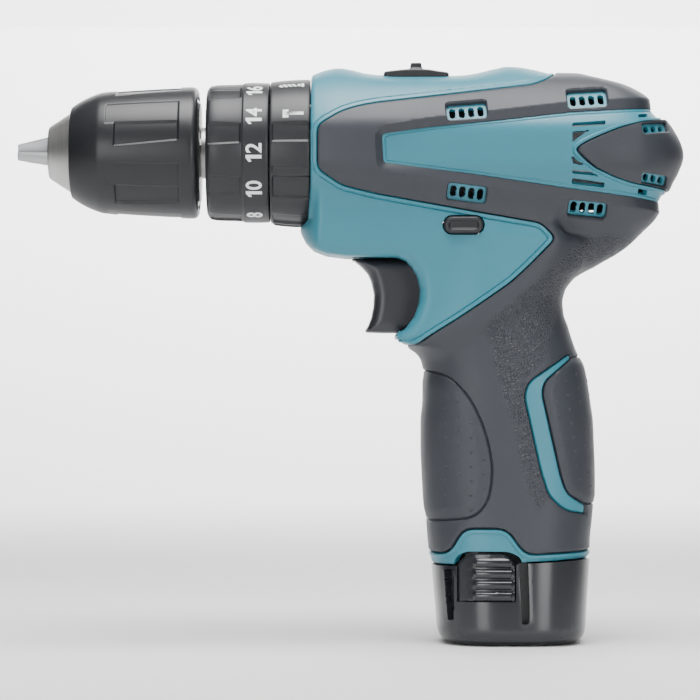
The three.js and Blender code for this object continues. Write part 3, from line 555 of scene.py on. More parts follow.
band_line = outline_field(round_corners(BAND_OUTLINE, 2.0, sharp=(9, 10, 11, 12, 13)))
panel_line = outline_field(round_corners(PANEL_OUTLINE, 1.2, sharp=(0, 8)))
leaf_line = outline_field(round_corners(LEAF_OUTLINE, 1.6, sharp=(6, 7)))
front_pad_line = outline_field(round_corners(FRONT_PAD_OUTLINE, 6.0, sharp=(0, 9)))
rear_pad_line = outline_field(round_corners(REAR_PAD_OUTLINE, 1.5, sharp=(0,)))
stripe_line = outline_field(round_corners(STRIPE_OUTER + STRIPE_INNER, 2.4, sharp=(0, 6, 7, 12)))
collar_line = outline_field(round_corners(COLLAR_OUTLINE, 3.0, sharp=(0, 5, 6, 7)))

LEATHER_OUTLINE = [
    (-13.8, -57.9), (-10.5, -52.3), (-1.6, -45.0), (5.6, -39.3), (12.1, -32.1), (18.6, -28.0), (26.6, -25.6),
    (38.0, -27.2), (31.5, -32.9), (22.6, -36.1), (16.2, -39.3), (12.1, -45.0), (10.5, -53.1), (7.3, -62.0),
    (6.6, -65.4), (0.3, -72.3), (1.7, -84.0), (4.0, -95.6), (6.6, -104.9), (8.0, -109.1), (4.0, -113.5),
    (1.2, -108.6), (-1.1, -100.2), (-3.4, -90.9), (-5.8, -82.1), (-9.0, -71.4), (-11.3, -60.7),
]
leather_line = outline_field(LEATHER_OUTLINE)

# Vent windows in the rubber: centre, size, tilt.
WINDOWS = [(-18.2, 12.0, 12.6, 5.0, 5.0), (19.6, 16.2, 12.5, 5.4, 4.0), (-18.1, -13.9, 12.1, 5.2, -7.0),
           (19.7, -18.8, 12.0, 4.8, -5.0)]
LEAF_WINDOWS = [(41.0, 6.8, 8.8, 3.4, 8.0), (41.0, -9.6, 8.8, 3.2, -6.0)]
PANEL_SLOTS = [
    [(14.7, 8.6), (25.2, 9.6), (25.2, 8.0), (14.7, 7.0)],
    [(14.7, 5.4), (19.8, 5.8), (17.6, 4.0), (14.7, 2.0)],
    [(14.7, -2.4), (15.6, -3.2), (18.2, -5.4), (14.7, -5.0)],
    [(14.7, -7.2), (20.6, -7.8), (23.0, -9.4), (14.7, -8.6)],
    [(14.7, -10.0), (25.0, -11.4), (25.0, -12.9), (14.7, -11.8)],
    [(36.2, 11.9), (39.6, 12.3), (39.6, 11.2), (36.2, 10.8)],
    [(36.2, -13.1), (39.6, -13.5), (39.6, -15.1), (36.2, -14.7)],
]


def window_slots(window, count, width, tall):
    """Rounded slots side by side inside a vent window."""
    cx, ch, length, _height, tilt = window
    c, s = math.cos(math.radians(tilt)), math.sin(math.radians(tilt))
    pitch = (length - 0.8) / count
    fields = []
    for k in range(count):
        u = (k - (count - 1) / 2) * pitch
        fields.append(slot_field(cx + u * c, ch + u * s - 0.15, width, tall, tilt, min(width, tall) * 0.42))
    return fields


def least(fields):
    def field(x, h):
        best = fields[0](x, h)
        for other in fields[1:]:
            best = np.minimum(best, other(x, h))
        return best
    return field


window_line = least([slot_field(*w, 0.9) for w in WINDOWS])
leaf_window_line = least([slot_field(*w, 0.7) for w in LEAF_WINDOWS])
vent_slot_line = least([f for w in WINDOWS for f in window_slots(w, 4, 1.95, 3.3)]
                       + [f for w in LEAF_WINDOWS for f in window_slots(w, 3, 1.85, 2.2)]
                       + [outline_field(p) for p in PANEL_SLOTS])
SCREWS = [((low[0] + high[0]) / 2, (low[2] + high[2]) / 2 - AXIS_Z)
          for low, high in (node_box(f"housing_screw_{k}") for k in (1, 2, 3, 4))]
SCREWS += [(-56.0, 17.4), (-3.2, 23.6)]
SCREW_BORE = 3.0
SCREW_SEAT = node_box("housing_screw_1")[1][1]
screw_line = least([slot_field(x, h, 2 * SCREW_BORE, 2 * SCREW_BORE, 0.0, SCREW_BORE - 0.01)
                    for x, h in SCREWS])
LAMP_LOW, LAMP_HIGH = node_box("lamp_lens")
LAMP_PLACE, LAMP_AIM = (LAMP_LOW + LAMP_HIGH) / 2, np.array([-0.622, 0.0, -0.783])
BUTTON_X, BUTTON_H = (BUTTON_LOW[0] + BUTTON_HIGH[0]) / 2, (BUTTON_LOW[2] + BUTTON_HIGH[2]) / 2 - AXIS_Z
button_line = slot_field(BUTTON_X, BUTTON_H, BUTTON_HIGH[0] - BUTTON_LOW[0] + 0.5,
                         BUTTON_HIGH[2] - BUTTON_LOW[2] + 0.5, 0.0, 3.0)


def side_view(field):
    """A side-view line as a field of points in space."""
    return lambda p: field(p[:, 0], p[:, 2] - AXIS_Z)


# ---- the housing's shape ----
SIDE = curve_through([(FRONT_X, 24.3), (FRONT_X + 7, 25.6), (FRONT_X + 17, 26.1), (10, 26.1), (25, 25.6),
                      (35, 24.2), (42, 21.6), (REAR_X, 17.0)])
TOP = curve_through([(FRONT_X, 24.9), (-61.5, 27.2), (-58.0, 27.8), (-54.0, 26.9), (-50.0, 25.6),
                     (-46.0, 25.0), (-38.7, 24.6), (-20.0, 24.7), (-15.8, 25.2), (-8.2, 27.4), (-4.4, 28.5),
                     (-1.0, 28.2), (3.2, 27.2), (10.8, 25.2), (18.4, 25.1), (26.0, 24.2), (33.6, 22.6),
                     (38.0, 21.2), (45.0, 17.0)])
BOTTOM = curve_through([(FRONT_X, 21.8), (-40, 24), (0, 34.0), (14.6, 38.0), (22.2, 37.4), (26.0, 35.9),
                        (29.8, 34.6), (33.6, 32.6), (37.4, 29.1), (41.2, 25.3), (45.0, 21.5), (48.0, 16.0)])
REAR = curve_through([(24.0, 30.0), (20.6, 38.7), (16.8, 42.8), (13.0, 44.4), (9.2, 47.2), (5.4, 48.8),
                      (1.6, 50.1), (-2.2, 50.7), (-6.0, 50.0), (-9.8, 49.1), (-13.6, 47.6), (-17.4, 46.2),
                      (-21.2, 45.2), (-25.0, 41.5), (-28.8, 37.7), (-34.0, 32.0), (-40.0, 25.0)])
GRIP_FRONT = curve_through([(25, -28.6), (31.4, -29.2), (39, -29.8), (46.6, -30.4), (54, -30.8),
                            (62, -31.1), (69.4, -31.1), (77, -30.5), (84.6, -30.5), (88.4, -31.2),
                            (92.2, -32.4), (96, -33.5), (100, -32), (104, -29), (111, -26), (126, -25)])
GRIP_REAR = curve_through([(25, 21.4), (31.4, 21.2), (39, 21.9), (46.6, 22.5), (54, 22.5), (62, 22.2),
                           (69.4, 21.9), (77, 20.9), (84.6, 19.7), (88.4, 18.7), (92.2, 16.9), (96, 15.5),
                           (99.9, 14.3), (103.7, 13.0), (107.5, 12.6), (111.3, 13.4), (115.1, 16.0),
                           (118.9, 20.0), (126, 24)])
GRIP_SIDE = curve_through([(25, 23.9), (33, 23.6), (40, 22.7), (50, 22.2), (77, 22.0), (96, 21.5),
                           (110, 21.0), (126, 20.0)])
YOKE_OUTLINE = [
    (FRONT_X, -5.0), (FRONT_X, -21.8), (-70.3, -23.9), (-70.1, -25.8), (-68.6, -28.8), (-66.2, -31.0),
    (-62.0, -32.6), (-56.0, -33.4), (-39.5, -33.7), (-36.9, -34.9), (-34.9, -37.0), (-33.3, -40.0),
    (-32.5, -43.7), (-32.8, -48.0), (-34.3, -52.3), (-37.0, -56.0), (-41.2, -58.9), (-34.4, -61.3),
    (-26.0, -60.0), (-8.0, -52.0), (4.0, -42.0), (10.0, -30.0), (12.0, -5.0),
]
yoke_line = outline_field(YOKE_OUTLINE)
COS_32, SIN_32 = math.cos(math.radians(32)), math.sin(math.radians(32))
FULL_SIDE = 26.1


def barrel_field(p):
    """Motor and gearbox barrel: flat sides with sloping facets over and under them."""
    x, y, h = p[:, 0], np.abs(p[:, 1]), p[:, 2] - AXIS_Z
    side = SIDE(x)
    share = side / FULL_SIDE
    facets = smooth_max(y - side, COS_32 * y + SIN_32 * h - 25.9 * share, 1.6)
    facets = smooth_max(facets, COS_32 * y - SIN_32 * h - 25.6 * share, 1.6)
    facets = smooth_max(facets, 0.5 * y + 0.866 * h - 25.5 * (0.4 + 0.6 * share), 5.0)
    height = smooth_max(h - TOP(x), -h - BOTTOM(x), 2.0)
    facets = smooth_max(facets, height, 5.0)
    facets = smooth_max(facets, 0.85 * (x - REAR(h)), 12.0)
    return smooth_max(facets, FRONT_X - x, 1.0)


def grip_field(p):
    x, y, z = p[:, 0], np.abs(p[:, 1]), p[:, 2]
    front, rear, side = GRIP_FRONT(z), GRIP_REAR(z), GRIP_SIDE(z)
    u = np.abs(x - (front + rear) / 2) / ((rear - front) / 2)
    round_section = ((u ** 2.7 + (y / side) ** 2.7) ** (1 / 2.7) - 1) * side
    foot = FOOT_Z + 0.1 + FOOT_SLOPE * (x - FOOT_FRONT_X)
    return smooth_max(smooth_max(round_section, z - 128.0, 3.0), foot - z, 0.8)


def yoke_field(p):
    x, y, h = p[:, 0], np.abs(p[:, 1]), p[:, 2] - AXIS_Z
    wide = 21.4 - 1.1 * np.maximum(FRONT_X + 2.5 - x, 0.0) ** 1.3 - 1.9 * smooth_step(-16.0, 8.0, x)
    return smooth_max(yoke_line(x, h), y - wide, 4.0)


def body_field(p):
    handle = smooth_min(grip_field(p), yoke_field(p), 6.0)
    return smooth_min(barrel_field(p), handle, 3.0)


def make_body_skin(step):
    """Half of the body's surface, cut along every line that the pieces follow."""
    low = (-72.5, -2.4, FOOT_Z - 2.0)
    high = (REAR_X + 2.0, 28.5, AXIS_Z + 30.5)
    skin = Skin(body_field, *net(body_field, low, high, step))
    skin.cut(lambda p: p[:, 1], 0.5)
    skin.keep(lambda c: c[:, 1] > 0)
    for line, levels in ((band_line, (0.0, 0.3, 1.15, 1.5, 1.8, -0.35, -0.9)),
                         (panel_line, (0.0, 2.3, -0.65, -0.9, -1.15)),
                         (leaf_line, (0.0, 0.3, 1.0, 1.5, -0.5)), (stripe_line, (0.0, 0.4, -0.5)),
                         (collar_line, (0.0, 0.5, -0.5, -1.1, -1.6)), (front_pad_line, (0.0, 0.5, -0.5)),
                         (rear_pad_line, (0.0, 0.45, -0.45)), (window_line, (0.0, 0.4, 0.8)),
                         (leaf_window_line, (0.0, 0.4)), (vent_slot_line, (0.0,)), (button_line, (0.0,))):
        for level in levels:
            small = line in (window_line, leaf_window_line, vent_slot_line) or level
            skin.cut(side_view(lambda x, h, line=line, level=level: line(x, h) - level),
                     0.1 if small else 0.25)
    skin.cut(lambda p: p[:, 1] - 0.3, 0.05)
    skin.cut(trigger_gap, 0.2)
    skin.cut(selector_gap, 0.2)
    for gap in (latch_gap, nose_gap, lamp_gap, foot_gap):
        skin.cut(gap, 0.2)
    build_lamp(skin)
    gaps = (trigger_gap, selector_gap, latch_gap, nose_gap, lamp_gap, foot_gap, side_view(button_line))
    skin.keep(lambda c: np.minimum.reduce([gap(c) for gap in gaps]) > 0)
    return skin


def box_field(p, low, high):
    middle, half = (np.array(low) + high) / 2, (np.array(high) - low) / 2
    return (np.abs(p - middle) - half).max(1)


def trigger_gap(p):
    half = TRIGGER_HIGH[1] + 0.4
    opening = box_field(p, (-75.0, -half, TRIGGER_LOW[2] - 0.6), (-26.0, half, TRIGGER_HIGH[2] + 0.9))
    return np.minimum(opening, box_field(p, (-75.0, -30.0, TRIGGER_LOW[2] - 7.0),
                                         (-40.0, 30.0, TRIGGER_LOW[2] + 0.3)))


def selector_gap(p):
    return box_field(p, (-42.5, -6.5, AXIS_Z + 15), (-24.0, 6.5, AXIS_Z + 40))


def latch_gap(p):
    line = outline_field(round_corners([(-21.9, -200), (-21.9, -127.5), (-18.4, -125.6), (-5.0, -125.6),
                                        (-1.0, -127.5), (-1.0, -200)], 1.6, sharp=(0, 5)))
    return np.maximum(side_view(line)(p), 12.0 - p[:, 1])


def lamp_gap(p):
    """Hole under the nose for the lamp."""
    along_axis = (p - LAMP_PLACE) @ LAMP_AIM
    across = np.linalg.norm(p - LAMP_PLACE - along_axis[:, None] * LAMP_AIM, axis=1)
    return np.maximum(across - 3.0, -along_axis - 4.0)


def build_lamp(skin):
    """Clear window set just inside the nose's underside."""
    window = kept(skin, lambda c: lamp_gap(c) < 0)
    points, faces = window.solid(lambda p: np.full(len(p), -0.35), 2.0)
    points, faces = joined((points, faces), mirrored(points, faces))
    lens = piece("lamp_window", points, faces, "housing", "clear_lens", MATERIALS["lens"], 40)
    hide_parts("lamp_lens")


def foot_gap(p):
    """Open underside of the handle, inside its rim."""
    u = np.abs(p[:, 0] + 3.5) / 22.5
    v = np.abs(p[:, 1]) / 21.4
    return np.maximum(((u ** 3 + v ** 3) ** (1 / 3) - 1) * 20, p[:, 2] - FOOT_Z - 3.5)


def nose_gap(p):
    radius = np.hypot(p[:, 1], p[:, 2] - AXIS_Z)
    return np.maximum(radius - MODE_HIGH[1] + 1.2, p[:, 0] - FRONT_X - 2.0)


def groove(distance, width, depth):
    """A rounded channel along a line."""
    return -depth * np.clip(1 - (distance / width) ** 2, 0, 1)


def seam(p):
    return -0.3 * np.clip(1 - np.abs(p[:, 1]) / 0.3, 0, 1)


def along(line, p):
    """A side-view line's value at points in space."""
    return line(p[:, 0], p[:, 2] - AXIS_Z)


def shell_height(p):
    """Teal shell: a raised lip beside the rubber with a fine groove behind it."""
    band = np.maximum(along(band_line, p), 0)
    lip = -0.55 + 0.85 * smooth_step(0.0, 0.3, band) - 0.3 * smooth_step(1.15, 1.55, band)
    return lip + groove(band - 1.5, 0.3, 0.3) + seam(p)


def panel_height(p):
    """Sunk side panel with a rim round the rear pad."""
    rim = np.maximum(along(leaf_line, p), 0)
    edge = np.maximum(-along(panel_line, p), 0)
    raised = 0.7 * smooth_step(0.0, 0.3, rim) * (1 - smooth_step(1.0, 1.5, rim))
    return -1.5 - 0.5 * (1 - smooth_step(0.0, 0.3, rim)) + raised + groove(edge - 0.9, 0.25, 0.2) + seam(p)


def collar_height(p):
    """Teal foot of the handle with a rounded lip and a step under it."""
    depth = np.maximum(-along(collar_line, p), 0)
    lip = -0.6 + 1.0 * smooth_step(0.0, 0.5, depth) - 0.45 * smooth_step(1.1, 1.6, depth)
    return lip + seam(p)


def stripe_height(p):
    inside = np.maximum(-along(stripe_line, p), 0)
    return -0.6 + 0.75 * smooth_step(0.0, 0.5, inside)


def vent_height(p):
    return np.full(len(p), -1.2)


def rubber_height(p):
    """Overmould: rounded edges, a bevel down to the side panel, swelling pads with grooves round them."""
    panel = np.maximum(along(panel_line, p), 0)
    edge = np.minimum(np.minimum(-along(band_line, p), along(collar_line, p)), along(stripe_line, p))
    edge = np.maximum(edge, 0)
    lift = -0.8 + 1.15 * smooth_step(0.0, 0.35, edge) + 0.15 * smooth_step(0.35, 0.9, edge)
    bevel = -1.7 * (1 - np.clip(panel / 2.3, 0, 1))
    dip = -0.5 * (1 - smooth_step(0.0, 0.4, np.maximum(along(window_line, p), 0)))
    front, rear = along(front_pad_line, p), along(rear_pad_line, p)
    pads = groove(front, 0.5, 0.6) + groove(rear, 0.45, 0.6)
    swell = 0.45 * smooth_step(0.3, 4.0, -front) + 0.4 * smooth_step(0.3, 3.0, -rear)
    hollow = -0.5 * (smooth_step(-1.5, 1.5, -along(leather_line, p))) * (p[:, 2] < AXIS_Z - 45)
    return lift + bevel + dip + pads + swell + 0.3 * hollow + seam(p)


def leaf_height(p):
    inside = np.maximum(-along(leaf_line, p), 0)
    h = p[:, 2] - AXIS_Z
    crease = 0.6 * (1 - np.clip(np.abs(h) / 9.0, 0, 1)) * smooth_step(0, 6, inside)
    dip = -0.4 * (1 - smooth_step(0.0, 0.4, np.maximum(along(leaf_window_line, p), 0)))
    return -1.5 + 1.6 * smooth_step(0.0, 0.5, inside) + crease + dip + seam(p)


def is_rubber(c):
    inside = (along(band_line, c) < 0) & (along(panel_line, c) > 0)
    return inside & (along(collar_line, c) > 0) & (along(stripe_line, c) > 0)


def kept(skin, chosen):
    part = skin.copy()
    part.keep(chosen)
    return part


def surface_y(field, x, z, guess=30.0):
    """Half-width of a body where a side-view place meets it."""
    low, high = 0.0, guess
    for _ in range(40):
        middle = (low + high) / 2
        if field(np.array([[x, middle, z]]))[0] < 0:
            low = middle
        else:
            high = middle
    return low


def build_body(sizes):
    skin = make_body_skin(sizes.skin_step)
    solid_wall = lambda c: along(vent_slot_line, c) > 0
    teal, rubber_look = MATERIALS["teal"], MATERIALS["rubber"]
    for side in ("right", "left"):
        own = skin.copy()
        turn = mirrored if side == "left" else (lambda points, faces: (points, faces))
        if side == "right":
            own.cut(side_view(screw_line), 0.3)
            own.keep(lambda c: along(screw_line, c) > 0)
        upper = kept(own, lambda c: (along(band_line, c) > 0) & (along(collar_line, c) > 0))
        panel = kept(own, lambda c: (along(panel_line, c) < 0) & (along(leaf_line, c) > 0) & solid_wall(c))
        collar = kept(own, lambda c: along(collar_line, c) < 0)
        stripe = kept(own, lambda c: along(stripe_line, c) < 0)
        vents = kept(own, lambda c: ((along(window_line, c) < 0.8) | (along(leaf_window_line, c) < 0.6))
                     & solid_wall(c))
        parts = [turn(*upper.solid(shell_height, 2.6)), turn(*panel.solid(panel_height, 3.4)),
                 turn(*collar.solid(collar_height, 2.6)), turn(*stripe.solid(stripe_height, 1.6)),
                 turn(*vents.solid(vent_height, 2.4))]
        if side == "right":
            parts += [screw_bore(x, h) for x, h in SCREWS]
        cover = piece(f"shell_{side}", *joined(*parts), "housing", "housing_shell", teal)
        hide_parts(f"housing_{side}")
        rubber = kept(own, lambda c: is_rubber(c) & (along(window_line, c) > 0))
        points, faces = turn(*rubber.solid(rubber_height, 1.6))
        grip = piece(f"rubber_{side}", points, faces, "housing", "overmould", rubber_look)
        leather = grip.data.attributes.new("leather", "FLOAT", "POINT")
        leather.data.foreach_set("value", smooth_step(-0.8, 1.5, -along(leather_line, points)))
        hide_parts(f"grip_overmould_{side}")
        leaf = kept(own, lambda c: (along(leaf_line, c) < 0) & (along(leaf_window_line, c) > 0))
        points, faces = turn(*leaf.solid(leaf_height, 1.8))
        pad = piece(f"rear_pad_{side}", points, faces, "housing", "overmould", rubber_look)
        pad.data.attributes.new("leather", "FLOAT", "POINT")
        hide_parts(f"rear_overmould_{side}")


def screw_bore(x, h):
    """Sunk tube that a housing screw sits in."""
    around = [(x + 3.7 * math.cos(t), h + 3.7 * math.sin(t)) for t in np.linspace(0, 2 * math.pi, 12)]
    far = min(surface_y(body_field, u, v + AXIS_Z) for u, v in around) - 0.9
    near = SCREW_SEAT - 0.5
    points, faces = turned([(near, 0.0), (near, SCREW_BORE + 0.7), (far, SCREW_BORE + 0.7),
                            (far, SCREW_BORE), (near + 0.6, SCREW_BORE), (near + 0.6, 0.0)], 40)
    placed = np.stack([x + points[:, 1], points[:, 0], h + AXIS_Z - (points[:, 2] - AXIS_Z)], 1)
    return clean(placed, faces)


# ---- turned rings with sunk grips ----
def between(value, low, high, soft):
    return smooth_step(low - soft, low + soft, value) * (1 - smooth_step(high - soft, high + soft, value))


def repeat(angle, centre, pitch):
    return (angle - centre + pitch / 2) % pitch - pitch / 2


def relief_ring(outer, inner, relief, stations, sides):
    """A ring whose outside follows (x, radius) stations with relief taken off, closed by an inner profile."""
    profile = curve_through(outer)
    xs = np.array(stations, float)
    angle = np.arange(sides) * 360.0 / sides
    grid_angle, grid_x = np.meshgrid(angle, xs, indexing="ij")
    radius = profile(grid_x) + relief(grid_angle, grid_x)
    inner_x = np.array([x for x, _r in inner], float)
    inner_r = np.array([r for _x, r in inner], float)
    all_x = np.hstack([grid_x, np.tile(inner_x, (sides, 1))])
    all_r = np.hstack([radius, np.tile(inner_r, (sides, 1))])
    turn = np.radians(angle)[:, None]
    points = np.stack([all_x, -all_r * np.cos(turn), AXIS_Z + all_r * np.sin(turn)], -1)
    return clean(points.reshape(-1, 3), ring_faces(all_x.shape[1], sides))


def spread(*knots):
    """Stations between knots given as (place, spacing up to the next place)."""
    result = []
    for (a, gap), (b, _next) in zip(knots, knots[1:]):
        count = max(1, int(round(abs(b - a) / gap)))
        result += list(np.linspace(a, b, count, endpoint=False))
    return result + [knots[-1][0]]


def sleeve_relief(angle, x):
    """Six groups of stepped hollows between the sleeve's nose and its rear rim."""
    phase = repeat(angle, 25.4, 60.0)
    low = -17.0 - 0.25 * (SLEEVE_HIGH[0] - 5.7 - x)
    upper = between(phase, 0.0, 22.3, 0.7) * between(x, SLEEVE_LOW[0] + 11.8, SLEEVE_HIGH[0] - 5.7, 0.25)
    lower = (smooth_step(-0.7, 0.7, phase - low) * (1 - smooth_step(-0.8, 0.8, phase))
             * between(x, SLEEVE_LOW[0] + 14.6, SLEEVE_HIGH[0] - 5.7, 0.25))
    return -0.3 * upper - 0.75 * lower


def build_sleeve():
    low, high = SLEEVE_LOW[0], SLEEVE_HIGH[0]
    outer = [(low - 0.15, 14.0), (low, 14.35), (low + 0.4, 14.75), (low + 8.4, 18.85), (low + 9.4, 19.15),
             (low + 15, 19.75), (low + 24, 20.35), (low + 33, 20.8), (high - 2.0, 20.95),
             (high - 1.0, 20.7), (high - 0.35, 20.2), (high, 19.4)]
    stations = spread((low - 0.15, 0.15), (low + 0.4, 1.4), (low + 8.4, 0.5), (low + 11.2, 0.2),
                      (low + 12.4, 0.6), (low + 14.1, 0.2), (low + 15.2, 1.6), (high - 6.3, 0.2),
                      (high - 5.2, 0.8), (high - 2.0, 0.33), (high - 0.35, 0.12), (high, 1))
    inner = [(high, 18.1), (low + 10.0, 18.1), (low + 8.0, 16.8), (low + 0.1, 13.2)]
    obj = piece("chuck_grip", *relief_ring(outer, inner, sleeve_relief, stations, RING_SIDES), "chuck_sleeve",
                "black_plastic", MATERIALS["sleeve"], 50)
    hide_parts("chuck_sleeve")


def torque_relief(angle, x):
    phase = repeat(angle, 13.3, 45.0)
    low, high = TORQUE_LOW[0] + 0.9, TORQUE_LOW[0] + 10.9
    edge = 9.2 - 0.14 * (x - low)
    return -0.65 * between(phase, -edge, edge, 0.8) * between(x, low, high, 0.25)


def build_torque_ring():
    low, high = TORQUE_LOW[0], TORQUE_HIGH[0]
    outer = [(low, 19.7), (low + 0.3, 20.3), (low + 1.2, 21.2), (low + 2.4, 21.5), (low + 11.4, 21.9),
             (low + 11.9, DIAL_RADIUS), (high - 0.4, DIAL_RADIUS), (high, 21.9)]
    stations = spread((low, 0.1), (low + 0.4, 0.2), (low + 1.4, 1.5), (low + 10.2, 0.2), (low + 12.2, 1.2),
                      (high - 0.4, 0.2), (high, 1))
    inner = [(high, 18.9), (low + 2.6, 18.9), (low + 2.6, 8.8), (low, 8.8), (low, 19.0)]
    ring = relief_ring(outer, inner, torque_relief, stations, RING_SIDES)
    obj = piece("torque_dial", *ring, "torque_ring", "black_plastic", MATERIALS["ring"], 50)
    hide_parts("torque_ring")


def mode_relief(angle, x):
    lip = between(x, MODE_LOW[0] + 0.9, MODE_HIGH[0] + 5, 0.35)
    height = 0.0
    for low, high, depth in MODE_STEPS:
        phase = repeat(angle, (low + high) / 2, 360.0)
        height = height + depth * between(phase, (low - high) / 2, (high - low) / 2, 0.9)
    return height * lip


# Steps round the mode ring: from, to in degrees, and height.
MODE_STEPS = [(6.2, 20.6, -0.7), (-21.0, -14.0, 0.45), (-40.5, -22.5, -0.8), (-80.0, -62.0, -0.7),
              (-101.0, -87.0, 0.45), (-122.0, -104.0, -0.8), (-163.0, -145.0, -0.7), (-190.0, -176.0, 0.45),
              (-212.0, -193.0, -0.8)]


MODE_PROFILE = [(MODE_LOW[0], 22.0), (MODE_LOW[0] + 0.25, 22.4), (MODE_LOW[0] + 1.0, 22.6),
                (MODE_HIGH[0] - 1.5, 23.3), (MODE_HIGH[0] - 0.5, 23.3), (MODE_HIGH[0], 23.1)]


def build_mode_ring():
    low, high = MODE_LOW[0], MODE_HIGH[0]
    stations = spread((low, 0.12), (low + 0.5, 0.2), (low + 1.4, 1.6), (high - 0.5, 0.25), (high, 1))
    ring = relief_ring(MODE_PROFILE, [(high, 19.95), (low, 19.95)], mode_relief, stations, RING_SIDES)
    obj = piece("mode_collar", *ring, "mode_ring", "black_plastic", MATERIALS["ring"], 50)
    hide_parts("mode_ring")


# ---- printed marks ----
def wrapped(mesh, angle, base_x, profile, proud=0.11, deep=0.14):
    """Flat marks (u round the ring, v towards the nose) laid on a ring as a thin layer."""
    work = bmesh.new()
    work.from_mesh(mesh)
    bmesh.ops.remove_doubles(work, verts=work.verts, dist=1e-5)
    reach = max(abs(v.co.x) for v in work.verts)
    for u in np.arange(-reach, reach, 0.5):
        parts = work.verts[:] + work.edges[:] + work.faces[:]
        bmesh.ops.bisect_plane(work, geom=parts, plane_co=(u, 0, 0), plane_no=(1, 0, 0))
    bmesh.ops.triangulate(work, faces=work.faces)
    work.verts.index_update()
    flat = np.array([tuple(v.co)[:2] for v in work.verts])
    faces = np.array([[v.index for v in f.verts] for f in work.faces])
    work.free()
    radius = profile(base_x - flat[:, 1])
    turn = math.radians(angle) + flat[:, 0] / radius

    def layer(lift):
        r = radius + lift
        return np.stack([base_x - flat[:, 1], -r * np.cos(turn), AXIS_Z + r * np.sin(turn)], 1)

    points, faces = closed(layer(proud), layer(-deep), faces)
    return clean(points, [tuple(f) for f in faces])


ONE_SHAPE = [(0.20, 0.0), (0.42, 0.0), (0.42, 1.0), (0.25, 1.0), (0.0, 0.82), (0.0, 0.63), (0.20, 0.74)]


def glyph(character):
    """One flat, bold numeral of height 1 with its left foot at the origin, as points and faces."""
    if character == "1":
        return np.array(ONE_SHAPE), [tuple(range(len(ONE_SHAPE)))]
    curve = bpy.data.curves.new("numeral", "FONT")
    curve.body = character
    curve.offset = 0.018
    mesh = baked(placed("numeral", curve), "numeral")
    place = np.array([tuple(v.co)[:2] for v in mesh.vertices])
    faces = [tuple(f.vertices) for f in mesh.polygons]
    bpy.data.meshes.remove(mesh)
    low, high = place.min(0), place.max(0)
    place = (place - low) / (high[1] - low[1])
    place[:, 0] *= min(1.0, 0.62 / place[:, 0].max())
    return place, faces


def text_mesh(text, height):
    """A flat mesh of numerals of a given height, centred sideways."""
    points, faces, reach = [], [], 0.0
    for character in text:
        place, parts = glyph(character)
        faces += [tuple(i + len(points) for i in part) for part in parts]
        points += [(x + reach, y, 0.0) for x, y in place]
        reach += place[:, 0].max() + 0.12
    middle = (reach - 0.12) / 2
    mesh = bpy.data.meshes.new("numerals")
    mesh.from_pydata([((x - middle) * height, y * height, 0.0) for x, y, _z in points], [], faces)
    return mesh


def polygon_mesh(polygons):
    mesh = bpy.data.meshes.new("mark")
    points, faces = [], []
    for polygon in polygons:
        faces.append(tuple(range(len(points), len(points) + len(polygon))))
        points += [(u, v, 0.0) for u, v in polygon]
    mesh.from_pydata(points, [], faces)
    return mesh


def bar_shape(u0, u1, v0, v1):
    return [(u0, v0), (u1, v0), (u1, v1), (u0, v1)]


def drill_mark():
    """A twist drill seen from the side: shank, slanted flutes and tip."""
    flutes = [[(-1.0, v), (1.0, v + 1.0), (1.0, v + 1.85), (-1.0, v + 0.85)] for v in (2.2, 3.6, 5.0)]
    return [bar_shape(-1.3, 1.3, 0.0, 0.8), bar_shape(-0.8, 0.8, 1.0, 2.0), *flutes,
            [(-0.9, 6.35), (0.9, 7.3), (0.0, 8.0), (-0.9, 7.2)]]


def hammer_mark():
    return [bar_shape(-0.55, 0.55, 0.0, 4.7), bar_shape(-1.45, 1.45, 4.7, 6.5)]


def screw_mark():
    threads = [[(-0.9, v), (0.9, v + 0.5), (0.9, v + 1.0), (-0.9, v + 0.5)] for v in (1.9, 3.0, 4.1)]
    return [bar_shape(-1.7, 1.7, 0.0, 1.2), *threads, [(-0.6, 5.3), (0.6, 5.6), (0.0, 7.0)]]


def build_marks(sizes):
    white = MATERIALS["white"]
    base = TORQUE_HIGH[0] - 2.1
    dial = lambda x: np.full(np.shape(x), DIAL_RADIUS)
    numerals = [wrapped(text_mesh(str(n), sizes.numeral_height), 90 - (18 - n) * DIAL_STEP, base, dial)
                for n in range(18, 0, -2)]
    small_drill = [[(u, v * 0.68) for u, v in part] for part in drill_mark()]
    numerals.append(wrapped(polygon_mesh(small_drill), 123.0, base, dial))
    piece("torque_numerals", *joined(*numerals), "torque_ring", None, white, 30)
    collar = curve_through(MODE_PROFILE)
    marks = [wrapped(polygon_mesh(shape), angle, MODE_HIGH[0] - 1.9, collar)
             for shape, angle in ((drill_mark(), 63.0), (hammer_mark(), 28.7), (screw_mark(), 97.0))]
    piece("mode_marks", *joined(*marks), "mode_ring", None, white, 30)


# ---- chuck ----
JAW_LEAN, JAW_RADIUS, JAW_SIDES = 13.5, 3.1, 64


